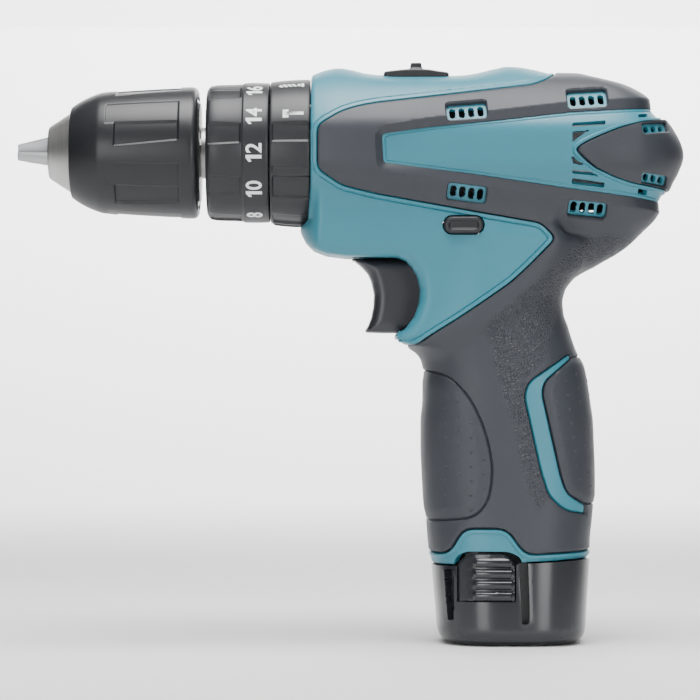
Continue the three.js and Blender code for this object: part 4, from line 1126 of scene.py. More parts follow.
def build_chuck():
    nose, rear = CHUCK_NOSE_X, SLEEVE_LOW[0]
    cone = turned([(nose - 0.08, 5.2), (nose - 0.08, 7.9), (nose + 0.1, 8.25), (nose + 0.5, 8.6),
                   (nose + 0.85, 8.8), (rear - 0.55, 12.6), (rear - 0.3, 12.82), (rear + 0.2, 12.92),
                   (rear + 1.2, 12.92), (rear + 1.2, 12.0), (nose + 1.6, 6.0), (nose + 1.0, 5.2)], 128)
    piece("nose_cone", *cone, "spindle", "machined_steel", MATERIALS["brushed"], 25)
    collar_low, collar_high = CHUCK_REAR_X + 0.25, TORQUE_LOW[0] - 0.25
    collar = turned([(collar_low, 6.2), (collar_low, 7.9), (collar_low + 0.2, 8.15),
                     (collar_high - 0.2, 8.15), (collar_high, 7.9), (collar_high, 6.2)], 96)
    piece("spindle_collar", *collar, "spindle", "machined_steel", MATERIALS["brushed"], 30)
    lean = math.radians(JAW_LEAN)
    for k in (1, 2, 3):
        low, high = node_box(f"chuck_jaw_{k}")
        middle = (low + high) / 2 - np.array([0, 0, AXIS_Z])
        around = math.atan2(middle[2], middle[1])
        jaw = jaw_mesh(low[0], high[0], lean, around)
        obj = piece(f"jaw_{k}", *jaw, f"chuck_jaw_{k}", "machined_steel", MATERIALS["jaw"], 30)
        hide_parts(f"chuck_jaw_{k}")


def jaw_mesh(tip, end, lean, around):
    """A slanting rod cut to a third of a circle, with a small flat at its tip."""
    tip_line = 2.75 - JAW_RADIUS / math.cos(lean)
    start = Vector((tip - 3.0, 0.0, tip_line - 3.0 * math.tan(lean)))
    along_rod = Vector((math.cos(lean), 0.0, math.sin(lean)))
    side, up = Vector((0, 1, 0)), Vector((-math.sin(lean), 0, math.cos(lean)))
    length = (end - tip) / math.cos(lean) + 2.0
    mesh = bmesh.new()
    rings = []
    for distance in (0.0, length):
        centre = start + along_rod * distance
        rings.append([mesh.verts.new(centre + (side * math.cos(t) + up * math.sin(t)) * JAW_RADIUS)
                      for t in np.linspace(0, 2 * math.pi, JAW_SIDES, endpoint=False)])
    for i in range(JAW_SIDES):
        j = (i + 1) % JAW_SIDES
        mesh.faces.new((rings[0][i], rings[0][j], rings[1][j], rings[1][i]))
    mesh.faces.new(rings[0][::-1])
    mesh.faces.new(rings[1])
    reach = math.tan(math.radians(60))
    cuts = [((tip, 0, 0), (-1, 0, 0)), ((0, 0, 0.06), (0, reach, -1)), ((0, 0, 0.06), (0, -reach, -1)),
            ((tip, 0, 2.45), (-1.0, 0, 0.9)), ((0, 0, 0.12), (0, 0, -1))]
    for place, facing in cuts:
        parts = mesh.verts[:] + mesh.edges[:] + mesh.faces[:]
        cut = bmesh.ops.bisect_plane(mesh, geom=parts, plane_co=place, plane_no=Vector(facing).normalized(),
                                     clear_outer=True)
        bmesh.ops.holes_fill(mesh, edges=[e for e in cut["geom_cut"] if isinstance(e, bmesh.types.BMEdge)])
    bmesh.ops.recalc_face_normals(mesh, faces=mesh.faces)
    mesh.verts.index_update()
    points = np.array([tuple(v.co) for v in mesh.verts])
    faces = [tuple(v.index for v in f.verts) for f in mesh.faces]
    mesh.free()
    spin = around - math.pi / 2
    y, z = points[:, 1].copy(), points[:, 2].copy()
    points[:, 1] = y * math.cos(spin) - z * math.sin(spin)
    points[:, 2] = AXIS_Z + y * math.sin(spin) + z * math.cos(spin)
    return points, faces


# ---- controls ----
def solid_net(field, low, high, step, rounds=3):
    """Closed quad mesh of a whole field."""
    points, quads = net(field, low, high, step, rounds)
    return points, [tuple(q) for q in quads]


TRIGGER_OUTLINE = [
    (-55.2, -33.75), (-52.9, -34.8), (-50.6, -36.8), (-48.8, -38.9), (-47.8, -41.4), (-47.0, -45.3),
    (-47.2, -49.1), (-47.9, -52.6), (-48.9, -55.2), (-49.9, -56.7), (-49.4, -57.4), (-44.0, -57.6),
    (-17.8, -57.6), (-17.8, -33.75),
]


def build_trigger():
    line = outline_field(TRIGGER_OUTLINE)
    half = (TRIGGER_HIGH[1] - TRIGGER_LOW[1]) / 2 - 0.1

    def field(p):
        return smooth_max(line(p[:, 0], p[:, 2] - AXIS_Z) + 0.1, np.abs(p[:, 1]) - half, 4.0)

    back = node_box("switch_body")[0][0] - 6.4
    mesh = solid_net(lambda p: smooth_max(field(p), p[:, 0] - back, 0.5),
                     (-57, -half - 2, TRIGGER_LOW[2] - 2), (back + 2, half + 2, TRIGGER_HIGH[2] + 2), 0.62, 4)
    stem_z = AXIS_Z - 45
    rod = tube_along_x(back - 1, TRIGGER_HIGH[0], 2.4, stem_z)
    obj = piece("trigger_paddle", *joined(mesh, rod), "trigger", "trigger_plastic", MATERIALS["trigger"], 40)
    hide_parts("trigger")


def tube_along_x(low, high, radius, z):
    points, faces = turned([(low, 0.0), (low, radius), (high, radius), (high, 0.0)], 32)
    return points + np.array([0, 0, z - AXIS_Z]), faces


def build_button():
    half_length = (BUTTON_HIGH[0] - BUTTON_LOW[0]) / 2 - 0.15
    half_height = (BUTTON_HIGH[2] - BUTTON_LOW[2]) / 2 - 0.1
    pill = slot_field(BUTTON_X, BUTTON_H, 2 * half_length, 2 * half_height, 0.0, half_height - 0.05)
    inner = slot_field(BUTTON_X, BUTTON_H, 2 * half_length - 3.4, 2 * half_height - 3.0, 0.0, 0.9)
    reach = 22.9

    def field(p):
        x, h = p[:, 0], p[:, 2] - AXIS_Z
        hollow = 0.8 * (1 - smooth_step(-0.5, 0.5, inner(x, h)))
        return smooth_max(pill(x, h), np.abs(p[:, 1]) - reach + hollow, 1.3)

    low = (BUTTON_LOW[0] - 1, -reach - 1.2, BUTTON_LOW[2] - 1)
    high = (BUTTON_HIGH[0] + 1, reach + 1.2, BUTTON_HIGH[2] + 1)
    obj = piece("direction_slider", *solid_net(field, low, high, 0.45, 2), "direction_button",
                "black_plastic", MATERIALS["ring"], 40)
    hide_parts("direction_button")


def build_selector():
    low = node_box("speed_selector")[0]
    front, rear = low[0] + 0.3, low[0] + 21.0
    knob = low[0] + 10.6
    top = curve_through([(front, 25.5), (front + 3, 25.9), (knob - 2.6, 26.3), (knob + 2.6, 26.3),
                         (rear - 3, 25.7), (rear, 25.3)])

    def plate(p):
        x, y, h = p[:, 0], np.abs(p[:, 1]), p[:, 2] - AXIS_Z
        ends = np.abs(x - (front + rear) / 2) - (rear - front) / 2
        slab = smooth_max(smooth_max(h - top(x), 23.4 - h, 0.4), smooth_max(y - 5.9, ends, 1.5), 0.6)
        neck = smooth_max(np.abs(x - knob) - 1.75 - 0.05 * (28.3 - h) ** 2, y - 4.9, 0.8)
        grip = smooth_max(smooth_max(neck, h - 28.4, 0.5), 24.0 - h, 0.5)
        return smooth_min(slab, grip, 1.0)

    mesh = solid_net(plate, (front - 1, -7.5, AXIS_Z + 22.6), (rear + 1, 7.5, AXIS_Z + 29.5), 0.42, 2)
    fork_low, fork_high = AXIS_Z + 19.2, AXIS_Z + 24.0
    fork = box_mesh((low[0] + 0.4, -3.6, fork_low), (low[0] + 4.0, 3.6, fork_high))
    obj = piece("speed_slider", *joined(mesh, fork), "speed_shift", "black_plastic", MATERIALS["black"], 40)
    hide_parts("speed_selector")


def box_mesh(low, high):
    (x0, y0, z0), (x1, y1, z1) = low, high
    points = np.array([(x, y, z) for x in (x0, x1) for y in (y0, y1) for z in (z0, z1)])
    faces = [(0, 1, 3, 2), (4, 6, 7, 5), (0, 4, 5, 1), (2, 3, 7, 6), (0, 2, 6, 4), (1, 5, 7, 3)]
    return points, faces


# ---- battery ----
def battery_round(p):
    """Upright shape of the battery, before its top and bottom are cut."""
    x, y, z = p[:, 0], np.abs(p[:, 1]), p[:, 2]
    front = BATTERY_LOW[0] + 0.085 * (24.5 - z)
    rear = BATTERY_HIGH[0] - 0.06 * (24.5 - z)
    side = BATTERY_HIGH[1] - 0.06 * (24.5 - z)
    u = np.abs(x - (front + rear) / 2) / ((rear - front) / 2)
    return ((u ** 3.0 + (y / side) ** 3.0) ** (1 / 3.0) - 1) * side


def battery_top(p):
    """Height above the slanting rim of the battery case."""
    return p[:, 2] - (BATTERY_RIM_Z + FOOT_SLOPE * (p[:, 0] - FOOT_FRONT_X))


def battery_field(p):
    return smooth_max(smooth_max(battery_round(p), -p[:, 2], 5.0), p[:, 2] - 30.0, 0.5)


BATTERY_WALL, POCKET_DEPTH, POCKET_FLOOR, SLOT_DEPTH, LATCH_THICKNESS = 4.4, 4.0, 1.0, 3.4, 1.4
BATTERY_RIM_Z, FLANK_Y = 24.75, 13.0        # front of the case's rim, and where its flanks begin
LATCH_OUTLINE = round_corners([(-20.9, -141.3), (-20.9, -129.4), (-17.5, -126.2), (-6.4, -126.2),
                               (-2.9, -129.4), (-2.9, -141.3)], 1.5, sharp=(0, 5))
latch_line = outline_field(LATCH_OUTLINE)
POCKET_OUTLINE = [(-21.05, -141.4), (-21.05, -120.0), (-2.75, -120.0), (-2.75, -141.4)]
pocket_line = outline_field(POCKET_OUTLINE)
SLOT_OUTLINES = [[(-25.0, -131.3), (-22.0, -131.3), (-21.9, -147.2), (-23.4, -147.5), (-23.9, -146.6)],
                 [(-2.0, -129.0), (1.0, -129.0), (1.5, -147.6), (0.8, -148.4), (-0.6, -148.4),
                  (-1.0, -147.6)]]
battery_slot_line = least([outline_field(round_corners(o, 0.8)) for o in SLOT_OUTLINES])


def latch_outward(p, normal):
    """Direction of the walls: square to the latch's face near the latch, along the normal elsewhere."""
    share = smooth_step(-4.0, -1.5, -along(pocket_line, p))[:, None] * (np.abs(p[:, 1:2]) > FLANK_Y)
    return unit(normal * (1 - share) + share * np.sign(p[:, 1:2]) * np.array([0.0, 1.0, 0.0]))


def build_battery():
    skin = Skin(battery_field, *net(battery_field, (-31, -26.5, -2.0), (24, 26.5, 32.0), 0.95))
    flank = lambda c: np.abs(c[:, 1]) > FLANK_Y
    for line in (pocket_line, battery_slot_line):
        skin.cut(side_view(line), 0.25)
    skin.cut(battery_top, 0.2)
    skin.keep(lambda c: battery_top(c) < 0)
    sunk_slot = kept(skin, lambda c: flank(c) & (along(battery_slot_line, c) < 0))
    pocket = kept(skin, lambda c: flank(c) & (along(pocket_line, c) < 0))
    rest = kept(skin, lambda c: ~(flank(c) & ((along(battery_slot_line, c) < 0)
                                                 | (along(pocket_line, c) < 0))))
    slot_edge = lambda p: 0.12 * (1 - smooth_step(0.1, 0.5, along(battery_slot_line, p))) * flank(p)
    parts = [rest.solid(slot_edge, BATTERY_WALL, latch_outward),
             pocket.solid(lambda p: np.full(len(p), -POCKET_DEPTH), POCKET_DEPTH + POCKET_FLOOR,
                          latch_outward)]
    sunk = sunk_slot.solid(lambda p: np.full(len(p), -SLOT_DEPTH), BATTERY_WALL - 0.1, latch_outward)
    piece("battery_slots", *sunk, "battery", "battery_plastic", MATERIALS["black"], 40)
    obj = piece("battery_shell", *joined(*parts), "battery", "battery_plastic", MATERIALS["battery"], 40)
    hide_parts("battery_case")

    low, high = (-25, 12, 10), (2, 28, 33)
    button = Skin(battery_round, *net(battery_round, low, high, 0.5))
    button.cut(side_view(latch_line), 0.15)
    button.keep(lambda c: (along(latch_line, c) < 0) & (c[:, 1] > 15))
    points, faces = button.solid(latch_height, LATCH_THICKNESS, latch_outward)
    for side, turn in (("right", lambda a, b: (a, b)), ("left", mirrored)):
        obj = piece(f"latch_{side}", *turn(points, faces), f"battery_latch_{side}", "battery_plastic",
                    MATERIALS["battery"], 40)
        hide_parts(f"battery_latch_{side}")


def latch_height(p):
    """Proud thumb pad with four rounded ribs and a steep front side."""
    x, h = p[:, 0], p[:, 2] - AXIS_Z
    ramp = smooth_step(-18.6, -15.6, x)
    edge = smooth_step(0.0, 0.3, -latch_line(x, h))
    phase = (h + RIB_TOP) / RIB_PITCH
    rib = np.sqrt(np.clip(1 - ((phase - np.round(phase)) / 0.40) ** 2, 0, 1))
    ribs = rib * between(phase, -3.5, 0.5, 0.03) * between(x, -15.9, -3.9, 0.4)
    fine = 0.18 * np.clip(1 - np.abs(phase - np.round(phase) - 0.5) / 0.06, 0, 1) * (1 - ramp)
    return -1.0 + 0.75 * edge * ramp + 0.2 * edge + 0.95 * ribs + fine


RIB_TOP, RIB_PITCH = 129.1, 3.45


# ---- repeated small parts ----
def scatter_tree(name):
    """Instances of a sample on points, aimed along each point's own direction."""
    tree = node_group(name, "GeometryNodeTree",
                      [("Geometry", "shape"), ("Sample", "object"), ("Size", "value", 1.0),
                       ("Size spread", "value", 0.0), ("Turn spread", "value", 0.0),
                       ("Material", "material")], [("Geometry", "shape")])
    new = tree.nodes.new
    take, give = new("NodeGroupInput"), new("NodeGroupOutput")
    sample = new("GeometryNodeObjectInfo")
    aim = new("GeometryNodeInputNamedAttribute")
    aim.data_type = "FLOAT_VECTOR"
    aim.inputs["Name"].default_value = "aim"
    face_aim = new("FunctionNodeAlignRotationToVector")
    face_aim.axis = "Z"
    spin = new("FunctionNodeRandomValue")
    spin.data_type = "FLOAT"
    spin.inputs["Seed"].default_value = 7
    size = new("FunctionNodeRandomValue")
    size.data_type = "FLOAT"
    size.inputs["Seed"].default_value = 3
    turn = new("FunctionNodeRotateRotation")
    turn.rotation_space = "LOCAL"
    euler = new("FunctionNodeAxisAngleToRotation")
    place = new("GeometryNodeInstanceOnPoints")
    realize, paint = new("GeometryNodeRealizeInstances"), new("GeometryNodeSetMaterial")
    low = math_node(tree, "SUBTRACT", (take, "Size"), (take, "Size spread"))
    high = math_node(tree, "ADD", (take, "Size"), (take, "Size spread"))
    minus = math_node(tree, "MULTIPLY", (take, "Turn spread"), -1.0)
    wire(tree, (low, 0, size, 2), (high, 0, size, 3),
         (minus, 0, spin, 2), (take, "Turn spread", spin, 3), (spin, 1, euler, "Angle"),
         (take, "Sample", sample, "Object"), (aim, 0, face_aim, "Vector"), (face_aim, 0, turn, 0),
         (euler, 0, turn, 1), (take, "Geometry", place, "Points"),
         (sample, "Geometry", place, "Instance"), (turn, 0, place, "Rotation"), (size, 1, place, "Scale"),
         (place, 0, realize, 0), (realize, 0, paint, "Geometry"), (take, "Material", paint, "Material"),
         (paint, 0, give, 0))
    return tree


def scattered(name, tree, places, aims, sample, material, body, slot, **values):
    """A mesh piece made of instances at places (in mm), each aimed its own way."""
    cloud = bpy.data.meshes.new(name + "_points")
    cloud.from_pydata([tuple(p) for p in np.asarray(places) * MM], [], [])
    aim = cloud.attributes.new("aim", "FLOAT_VECTOR", "POINT")
    aim.data.foreach_set("vector", np.asarray(aims, float).ravel())
    holder = placed(name + "_points", cloud)
    modifier = holder.modifiers.new("scatter", "NODES")
    modifier.node_group = tree
    given = {"Sample": sample, "Material": material,
             **{name.replace("_", " ").capitalize(): value for name, value in values.items()}}
    for socket in tree.interface.items_tree:
        if socket.item_type == "SOCKET" and socket.in_out == "INPUT" and socket.name in given:
            modifier[socket.identifier] = given[socket.name]
    mesh = baked(holder, name)
    bpy.data.objects.remove(sample)
    if "aim" in mesh.attributes:
        mesh.attributes.remove(mesh.attributes["aim"])
    obj = placed(name, mesh)
    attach(obj, body)
    return obj


def spun(profile, sides, lobes=0, depth=0.0, inner=0.0):
    """A shape turned about z from (z, radius) points; radii under inner follow a star of lobes."""
    points = []
    for k in range(sides):
        t = 2 * math.pi * k / sides
        wave = 1 + depth * math.cos(lobes * t)
        for z, r in profile:
            r = r * wave if lobes and 0 < r <= inner else r
            points.append((r * math.cos(t), r * math.sin(t), z))
    return clean(np.array(points), ring_faces(len(profile), sides))


def build_screws(tree):
    """Star-socket screw heads in the bores on the right side."""
    head = [(-2.2, 0.0), (-2.2, 2.55), (-0.55, 2.6), (-0.2, 2.45), (-0.05, 2.1), (0.0, 1.45),
            (-0.1, 1.25), (-1.2, 1.15), (-1.3, 0.0)]
    sample = placed("screw_head", shaded_mesh("screw_head", *spun(head, 72, 6, 0.12, 1.3), 35.0))
    seat = SCREW_SEAT + 0.6
    places = [(x, seat, h + AXIS_Z) for x, h in SCREWS]
    obj = scattered("housing_screws", tree, places, [(0, 1, 0)] * len(places), sample, MATERIALS["screw"],
                    "housing", "blackened_steel", size=1.0, size_spread=0.0, turn_spread=3.0)
    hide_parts(*(f"housing_screw_{k}" for k in (1, 2, 3, 4)))


def build_dimples(tree, sizes):
    """Small raised cups in staggered rows on the grip's pads, both sides."""
    front = [(-27.9 + 3.8 * column, -74.5 - 4.5 * row - (2.25 if column % 2 else 0.0))
             for column in range(1, 5) for row in range(11)]
    front = [(x, h) for x, h in front if front_pad_line(np.array([x]), np.array([h]))[0] < -1.5 and h < -73]
    rear = []
    for column in range(4):
        for row in range(11):
            h = -66.0 - 4.4 * row - (2.2 if column % 2 else 0.0)
            x = 9.6 + 3.6 * column + 0.133 * (-77.7 - h)
            if rear_pad_line(np.array([x]), np.array([h]))[0] < -1.4 and x < 20.6:
                rear.append((x, h))
    places = []
    for x, h in front + rear:
        y = surface_y(body_field, x, h + AXIS_Z)
        if y > 4:
            places += [(x, y, h + AXIS_Z), (x, -y, h + AXIS_Z)]
    places = np.array(places)
    aims = unit(gradient(body_field, places))
    lifted = places + aims * (rubber_height(places)[:, None] + 0.02)
    cup = [(-0.3, 0.5), (0.0, 0.5), (0.12, 0.38), (0.1, 0.3), (-0.06, 0.16), (-0.1, 0.0), (-0.3, 0.0)]
    sample = placed("dimple", shaded_mesh("dimple", *spun(cup, 16), 35.0))
    scattered("grip_dimples", tree, lifted, aims, sample, MATERIALS["dimple"], "housing", "overmould",
              size=sizes.dimple_size, size_spread=0.06, turn_spread=3.0)


MATERIALS = {}


def make_materials(looks):
    shell, rubber, black = looks.shell_colour, looks.rubber_colour, looks.black_colour
    MATERIALS["teal"] = moulded("Teal shell", shell, 0.42, 1500.0, 0.25, 0.05, specular=0.45)
    MATERIALS["rubber"] = leather("Grip rubber", rubber, 0.5)
    MATERIALS["dimple"] = moulded("Dimple rubber", rubber, 0.5, 2200.0, 0.4, 0.1, specular=0.5)
    MATERIALS["black"] = moulded("Black nylon", black, 0.42, 2000.0, 0.4, 0.08)
    MATERIALS["sleeve"] = moulded("Chuck sleeve", black, 0.36, 1700.0, 0.35, 0.08, bump=0.000015,
                                  specular=0.4, spread=0.05)
    MATERIALS["ring"] = moulded("Dial plastic", tuple(1.25 * c for c in black), 0.40, 1700.0, 0.4, 0.08,
                                bump=0.00002, specular=0.4, spread=0.05)
    MATERIALS["battery"] = bowed("Battery case", (0.016, 0.0175, 0.021), 0.2)
    MATERIALS["trigger"] = moulded("Trigger plastic", (0.022, 0.0225, 0.028), 0.36, 1800.0, 0.3, 0.06,
                                   bump=0.00002, spread=0.05)
    MATERIALS["steel"] = moulded("Turned steel", (0.5, 0.5, 0.5), 0.3, 900.0, 0.2, 0.05, metallic=1.0)
    MATERIALS["brushed"] = brushed("Turned nose steel", (0.5, 0.495, 0.49), 0.32, (2600.0, 60.0, 60.0), 1.0)
    MATERIALS["jaw"] = brushed("Ground jaw steel", (0.42, 0.425, 0.435), 0.33, (60.0, 1500.0, 1500.0), 1.0)
    MATERIALS["screw"] = moulded("Blackened screws", (0.06, 0.06, 0.065), 0.38, 1600.0, 0.3, 0.1,
                                 metallic=0.9)
    MATERIALS["white"] = moulded("White print", (0.85, 0.86, 0.87), 0.5)
    MATERIALS["lens"] = lens_material()
    inner = {
        "housing_shell": MATERIALS["teal"], "overmould": MATERIALS["dimple"],
        "black_plastic": MATERIALS["black"], "battery_plastic": MATERIALS["battery"],
        "trigger_plastic": MATERIALS["trigger"],
        "machined_steel": MATERIALS["steel"], "blackened_steel": MATERIALS["screw"],
        "cast_zinc": moulded("Cast zinc", (0.33, 0.33, 0.34), 0.45, 700.0, 0.5, 0.1, metallic=0.9),
        "motor_core": moulded("Laminated core", (0.12, 0.11, 0.1), 0.5, 1200.0, 0.5, 0.15, metallic=0.7),
        "fan_nylon": moulded("Fan nylon", (0.3, 0.29, 0.25), 0.5, 1500.0, 0.3, 0.05),
        "cell_wrap": moulded("Cell wrap", (0.05, 0.16, 0.36), 0.35, 1500.0, 0.15, 0.05, coat=0.3),
        "clear_lens": MATERIALS["lens"],
    }
    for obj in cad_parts.values():
        for place in obj.material_slots:
            place.material = inner[place.material.name.split(".")[0]]


def bowed(name, colour, roughness):
    """Glossy plastic shaded as if its flat sides were slightly bowed, so tall lights show as soft bands."""
    material, tree, shader = new_material(name)
    new = tree.nodes.new
    look = group_node(tree, SURFACE_GROUP, colour=(*colour, 1), variation=0.06, roughness=roughness,
                      roughness_spread=0.03, grain_scale=1800.0, grain_depth=0.08)
    where, split = new("ShaderNodeTexCoord"), new("ShaderNodeSeparateXYZ")
    wire(tree, (where, "Object", split, 0))
    square = math_node(tree, "MULTIPLY", (split, "X"), (split, "X"))
    slope = math_node(tree, "MULTIPLY", (split, "Z"), -BOW_SLOPE)
    bow = math_node(tree, "MULTIPLY_ADD", (square, 0), -0.5 / BOW_RADIUS, (slope, 0))
    fine, broad = new("ShaderNodeBump"), new("ShaderNodeBump")
    fine.inputs["Distance"].default_value = 0.000008
    broad.inputs["Distance"].default_value = 1.0
    wire(tree, (bow, 0, broad, "Height"), (look, "Height", fine, "Height"), (broad, 0, fine, "Normal"),
         (fine, 0, shader, "Normal"), (look, "Colour", shader, "Base Color"),
         (look, "Roughness", shader, "Roughness"))
    return material


BOW_RADIUS, BOW_SLOPE = 0.2, 0.1


def lens_material():
    """Cloudy clear plastic over the lamp."""
    material, tree, shader = new_material("Lamp lens")
    look = group_node(tree, SURFACE_GROUP, colour=(0.86, 0.9, 0.92, 1), variation=0.04, roughness=0.12,
                      roughness_spread=0.05, grain_scale=1500.0, grain_depth=0.1)
    wire(tree, (look, "Colour", shader, "Base Color"), (look, "Roughness", shader, "Roughness"))
    shader.inputs["Coat Weight"].default_value = 0.6
    return material


def make_leather_group():
    """Wrinkled hide: short creases between low bumps, as a height."""
    group = node_group("Wrinkled hide", "ShaderNodeTree",
                       [("Scale", "value", 900.0), ("Amount", "value", 1.0)], [("Height", "value")])
    new = group.nodes.new
    take, give, where = new("NodeGroupInput"), new("NodeGroupOutput"), new("ShaderNodeTexCoord")
    warp = new("ShaderNodeTexNoise")
    warp.inputs["Scale"].default_value = 420.0
    warp.inputs["Detail"].default_value = 2.0
    shift = new("ShaderNodeVectorMath")
    shift.operation = "MULTIPLY_ADD"
    shift.inputs[1].default_value = (0.0022, 0.0022, 0.0022)
    cells = new("ShaderNodeTexVoronoi")
    cells.feature = "DISTANCE_TO_EDGE"
    crease = math_node(group, "SMOOTH_MIN", (cells, "Distance"), 0.35, 0.15)
    scaled = math_node(group, "MULTIPLY", (crease, 0), (take, "Amount"))
    wire(group, (where, "Object", warp, "Vector"), (warp, "Color", shift, 0), (where, "Object", shift, 2),
         (shift, 0, cells, "Vector"), (take, "Scale", cells, "Scale"), (scaled, 0, give, "Height"))
    return group


def leather(name, colour, roughness):
    """Soft rubber, wrinkled like hide wherever the leather attribute is set."""
    material, tree, shader = new_material(name)
    new = tree.nodes.new
    look = group_node(tree, SURFACE_GROUP, colour=(*colour, 1), variation=0.1, roughness=roughness,
                      roughness_spread=0.1, grain_scale=2200.0, grain_depth=0.5)
    mask = new("ShaderNodeAttribute")
    mask.attribute_name = "leather"
    hide = new("ShaderNodeGroup")
    hide.node_tree = LEATHER_GROUP
    hide.inputs["Scale"].default_value = 950.0
    fine, coarse = new("ShaderNodeBump"), new("ShaderNodeBump")
    fine.inputs["Distance"].default_value = 0.00004
    coarse.inputs["Distance"].default_value = 0.0007
    wire(tree, (mask, "Fac", hide, "Amount"), (look, "Colour", shader, "Base Color"),
         (look, "Roughness", shader, "Roughness"), (look, "Height", fine, "Height"),
         (hide, "Height", coarse, "Height"), (fine, 0, coarse, "Normal"), (coarse, 0, shader, "Normal"))
    shader.inputs["Specular IOR Level"].default_value = 0.45
    return material


def brushed(name, colour, roughness, scale, metallic):
    """Metal with fine tool marks drawn out across one direction."""
    material, tree, shader = new_material(name)
    new = tree.nodes.new
    marks = new("ShaderNodeGroup")
    marks.node_tree = TOOL_MARKS
    marks.inputs["Scale"].default_value = scale
    marks.inputs["Colour"].default_value = (*colour, 1)
    marks.inputs["Roughness"].default_value = roughness
    height = new("ShaderNodeBump")
    height.inputs["Distance"].default_value = 0.00003
    wire(tree, (marks, "Colour", shader, "Base Color"), (marks, "Roughness", shader, "Roughness"),
         (marks, "Height", height, "Height"), (height, 0, shader, "Normal"))
    shader.inputs["Metallic"].default_value = metallic
    return material


def make_tool_marks_group():
    """Stretched noise for machined metal: colour, roughness and height."""
    group = node_group("Tool marks", "ShaderNodeTree",
                       [("Colour", "colour"), ("Roughness", "value"), ("Scale", "vector")],
                       [("Colour", "colour"), ("Roughness", "value"), ("Height", "value")])
    new = group.nodes.new
    take, give, where = new("NodeGroupInput"), new("NodeGroupOutput"), new("ShaderNodeTexCoord")
    stretch = new("ShaderNodeVectorMath")
    stretch.operation = "MULTIPLY"
    noise = new("ShaderNodeTexNoise")
    noise.inputs["Scale"].default_value = 1.0
    noise.inputs["Detail"].default_value = 5.0
    tone = math_node(group, "MULTIPLY_ADD", (noise, "Fac"), 0.35, 0.82)
    rough = math_node(group, "MULTIPLY_ADD", (noise, "Fac"), 0.14, (take, "Roughness"))
    tint = new("ShaderNodeVectorMath")
    tint.operation = "SCALE"
    wire(group, (where, "Object", stretch, 0), (take, "Scale", stretch, 1), (stretch, 0, noise, "Vector"),
         (take, "Colour", tint, 0), (tone, 0, tint, "Scale"), (tint, 0, give, "Colour"),
         (rough, 0, give, "Roughness"), (noise, "Fac", give, "Height"))
    return group


LEATHER_GROUP = make_leather_group()
TOOL_MARKS = make_tool_marks_group()


# ---- stage ----
CAMERA_LENS, CAMERA_PLACE = 161.3, (-0.0545, -1.0, 0.0925)
MIDDLE, FLOOR_Z = (0.0, 0.0, 0.12), -0.0002


def build_stage():
    floor_mesh = bpy.data.meshes.new("floor")
    reach, back, rise = 3.0, 0.9, 2.2
    ring = [(-reach, -2.0, 0.0), (reach, -2.0, 0.0), (reach, back, 0.0), (-reach, back, 0.0),
            (-reach, back + 0.6, 0.35), (reach, back + 0.6, 0.35), (reach, back + 0.8, rise),
            (-reach, back + 0.8, rise)]
    floor_mesh.from_pydata(ring, [], [(0, 1, 2, 3), (3, 2, 5, 4), (4, 5, 6, 7)])
    floor = placed("floor", floor_mesh)
    floor.location.z = FLOOR_Z
    material, _tree, shader = new_material("Pale floor")
    shader.inputs["Base Color"].default_value = (0.8, 0.8, 0.8, 1)
    shader.inputs["Roughness"].default_value = 0.9
    floor_mesh.materials.append(material)

    build_world()
    add_area("overhead", (-0.05, -0.13, 0.78), (-0.05, 0.0, 0.12), 0.5, 6.4, 130)
    for side in (-1, 1):
        strip = add_area("strip", (side * 0.46, -1.0, 0.15), MIDDLE, 0.3, 3.2, 140)
        strip.shape, strip.size_y = "RECTANGLE", 0.7
    add_area("backdrop", (0.0, 0.6, 1.3), (0.0, 1.7, 0.4), 1.2, 46.0, 100)
    add_area("behind", (0.5, 0.8, 0.8), MIDDLE, 0.6, 1.0, 90)

    lens = bpy.data.cameras.new("camera")
    lens.lens = CAMERA_LENS
    lens.clip_end = 20.0
    camera = placed("camera", lens)
    camera.location = CAMERA_PLACE
    camera.rotation_euler = (math.pi / 2, 0, 0)
    bpy.context.scene.camera = camera


def build_world():
    """Soft surround: bright overhead, dimmer at eye level and below."""
    world = bpy.data.worlds.new("Studio")
    bpy.context.scene.world = world
    world.use_nodes = True
    new = world.node_tree.nodes.new
    where, split, ramp = new("ShaderNodeTexCoord"), new("ShaderNodeSeparateXYZ"), new("ShaderNodeMapRange")
    ramp.inputs["From Min"].default_value, ramp.inputs["From Max"].default_value = -0.1, 0.9
    ramp.inputs["To Min"].default_value, ramp.inputs["To Max"].default_value = 0.02, 0.35
    wire(world.node_tree, (where, "Generated", split, 0), (split, "Z", ramp, "Value"))
    background = world.node_tree.nodes["Background"]
    background.inputs[0].default_value = (1, 1, 1, 1)
    wire(world.node_tree, (ramp, 0, background, "Strength"))


def add_area(name, place, aim, size, power, spread_angle):
    light = bpy.data.lights.new(name, "AREA")
    light.size, light.energy, light.spread = size, power, math.radians(spread_angle)
    lamp = placed(name, light)
    lamp.location = place
    lamp.rotation_euler = (Vector(aim) - Vector(place)).to_track_quat("-Z", "Y").to_euler()
    return light


# ---- add-on ----
class DrillSizes(bpy.types.PropertyGroup):
    skin_step: FloatProperty(name="Skin step",
                             description="Edge length of the housing's mesh, in millimetres", default=0.95,
                             min=0.5, max=4.0)
    numeral_height: FloatProperty(name="Numeral height",
                                  description="Height of the dial's numerals, in millimetres", default=5.0,
                                  min=2.0, max=7.0)
    dimple_size: FloatProperty(name="Dimple size", description="Scale of the dimples on the grip",
                               default=1.0, min=0.3, max=2.0)


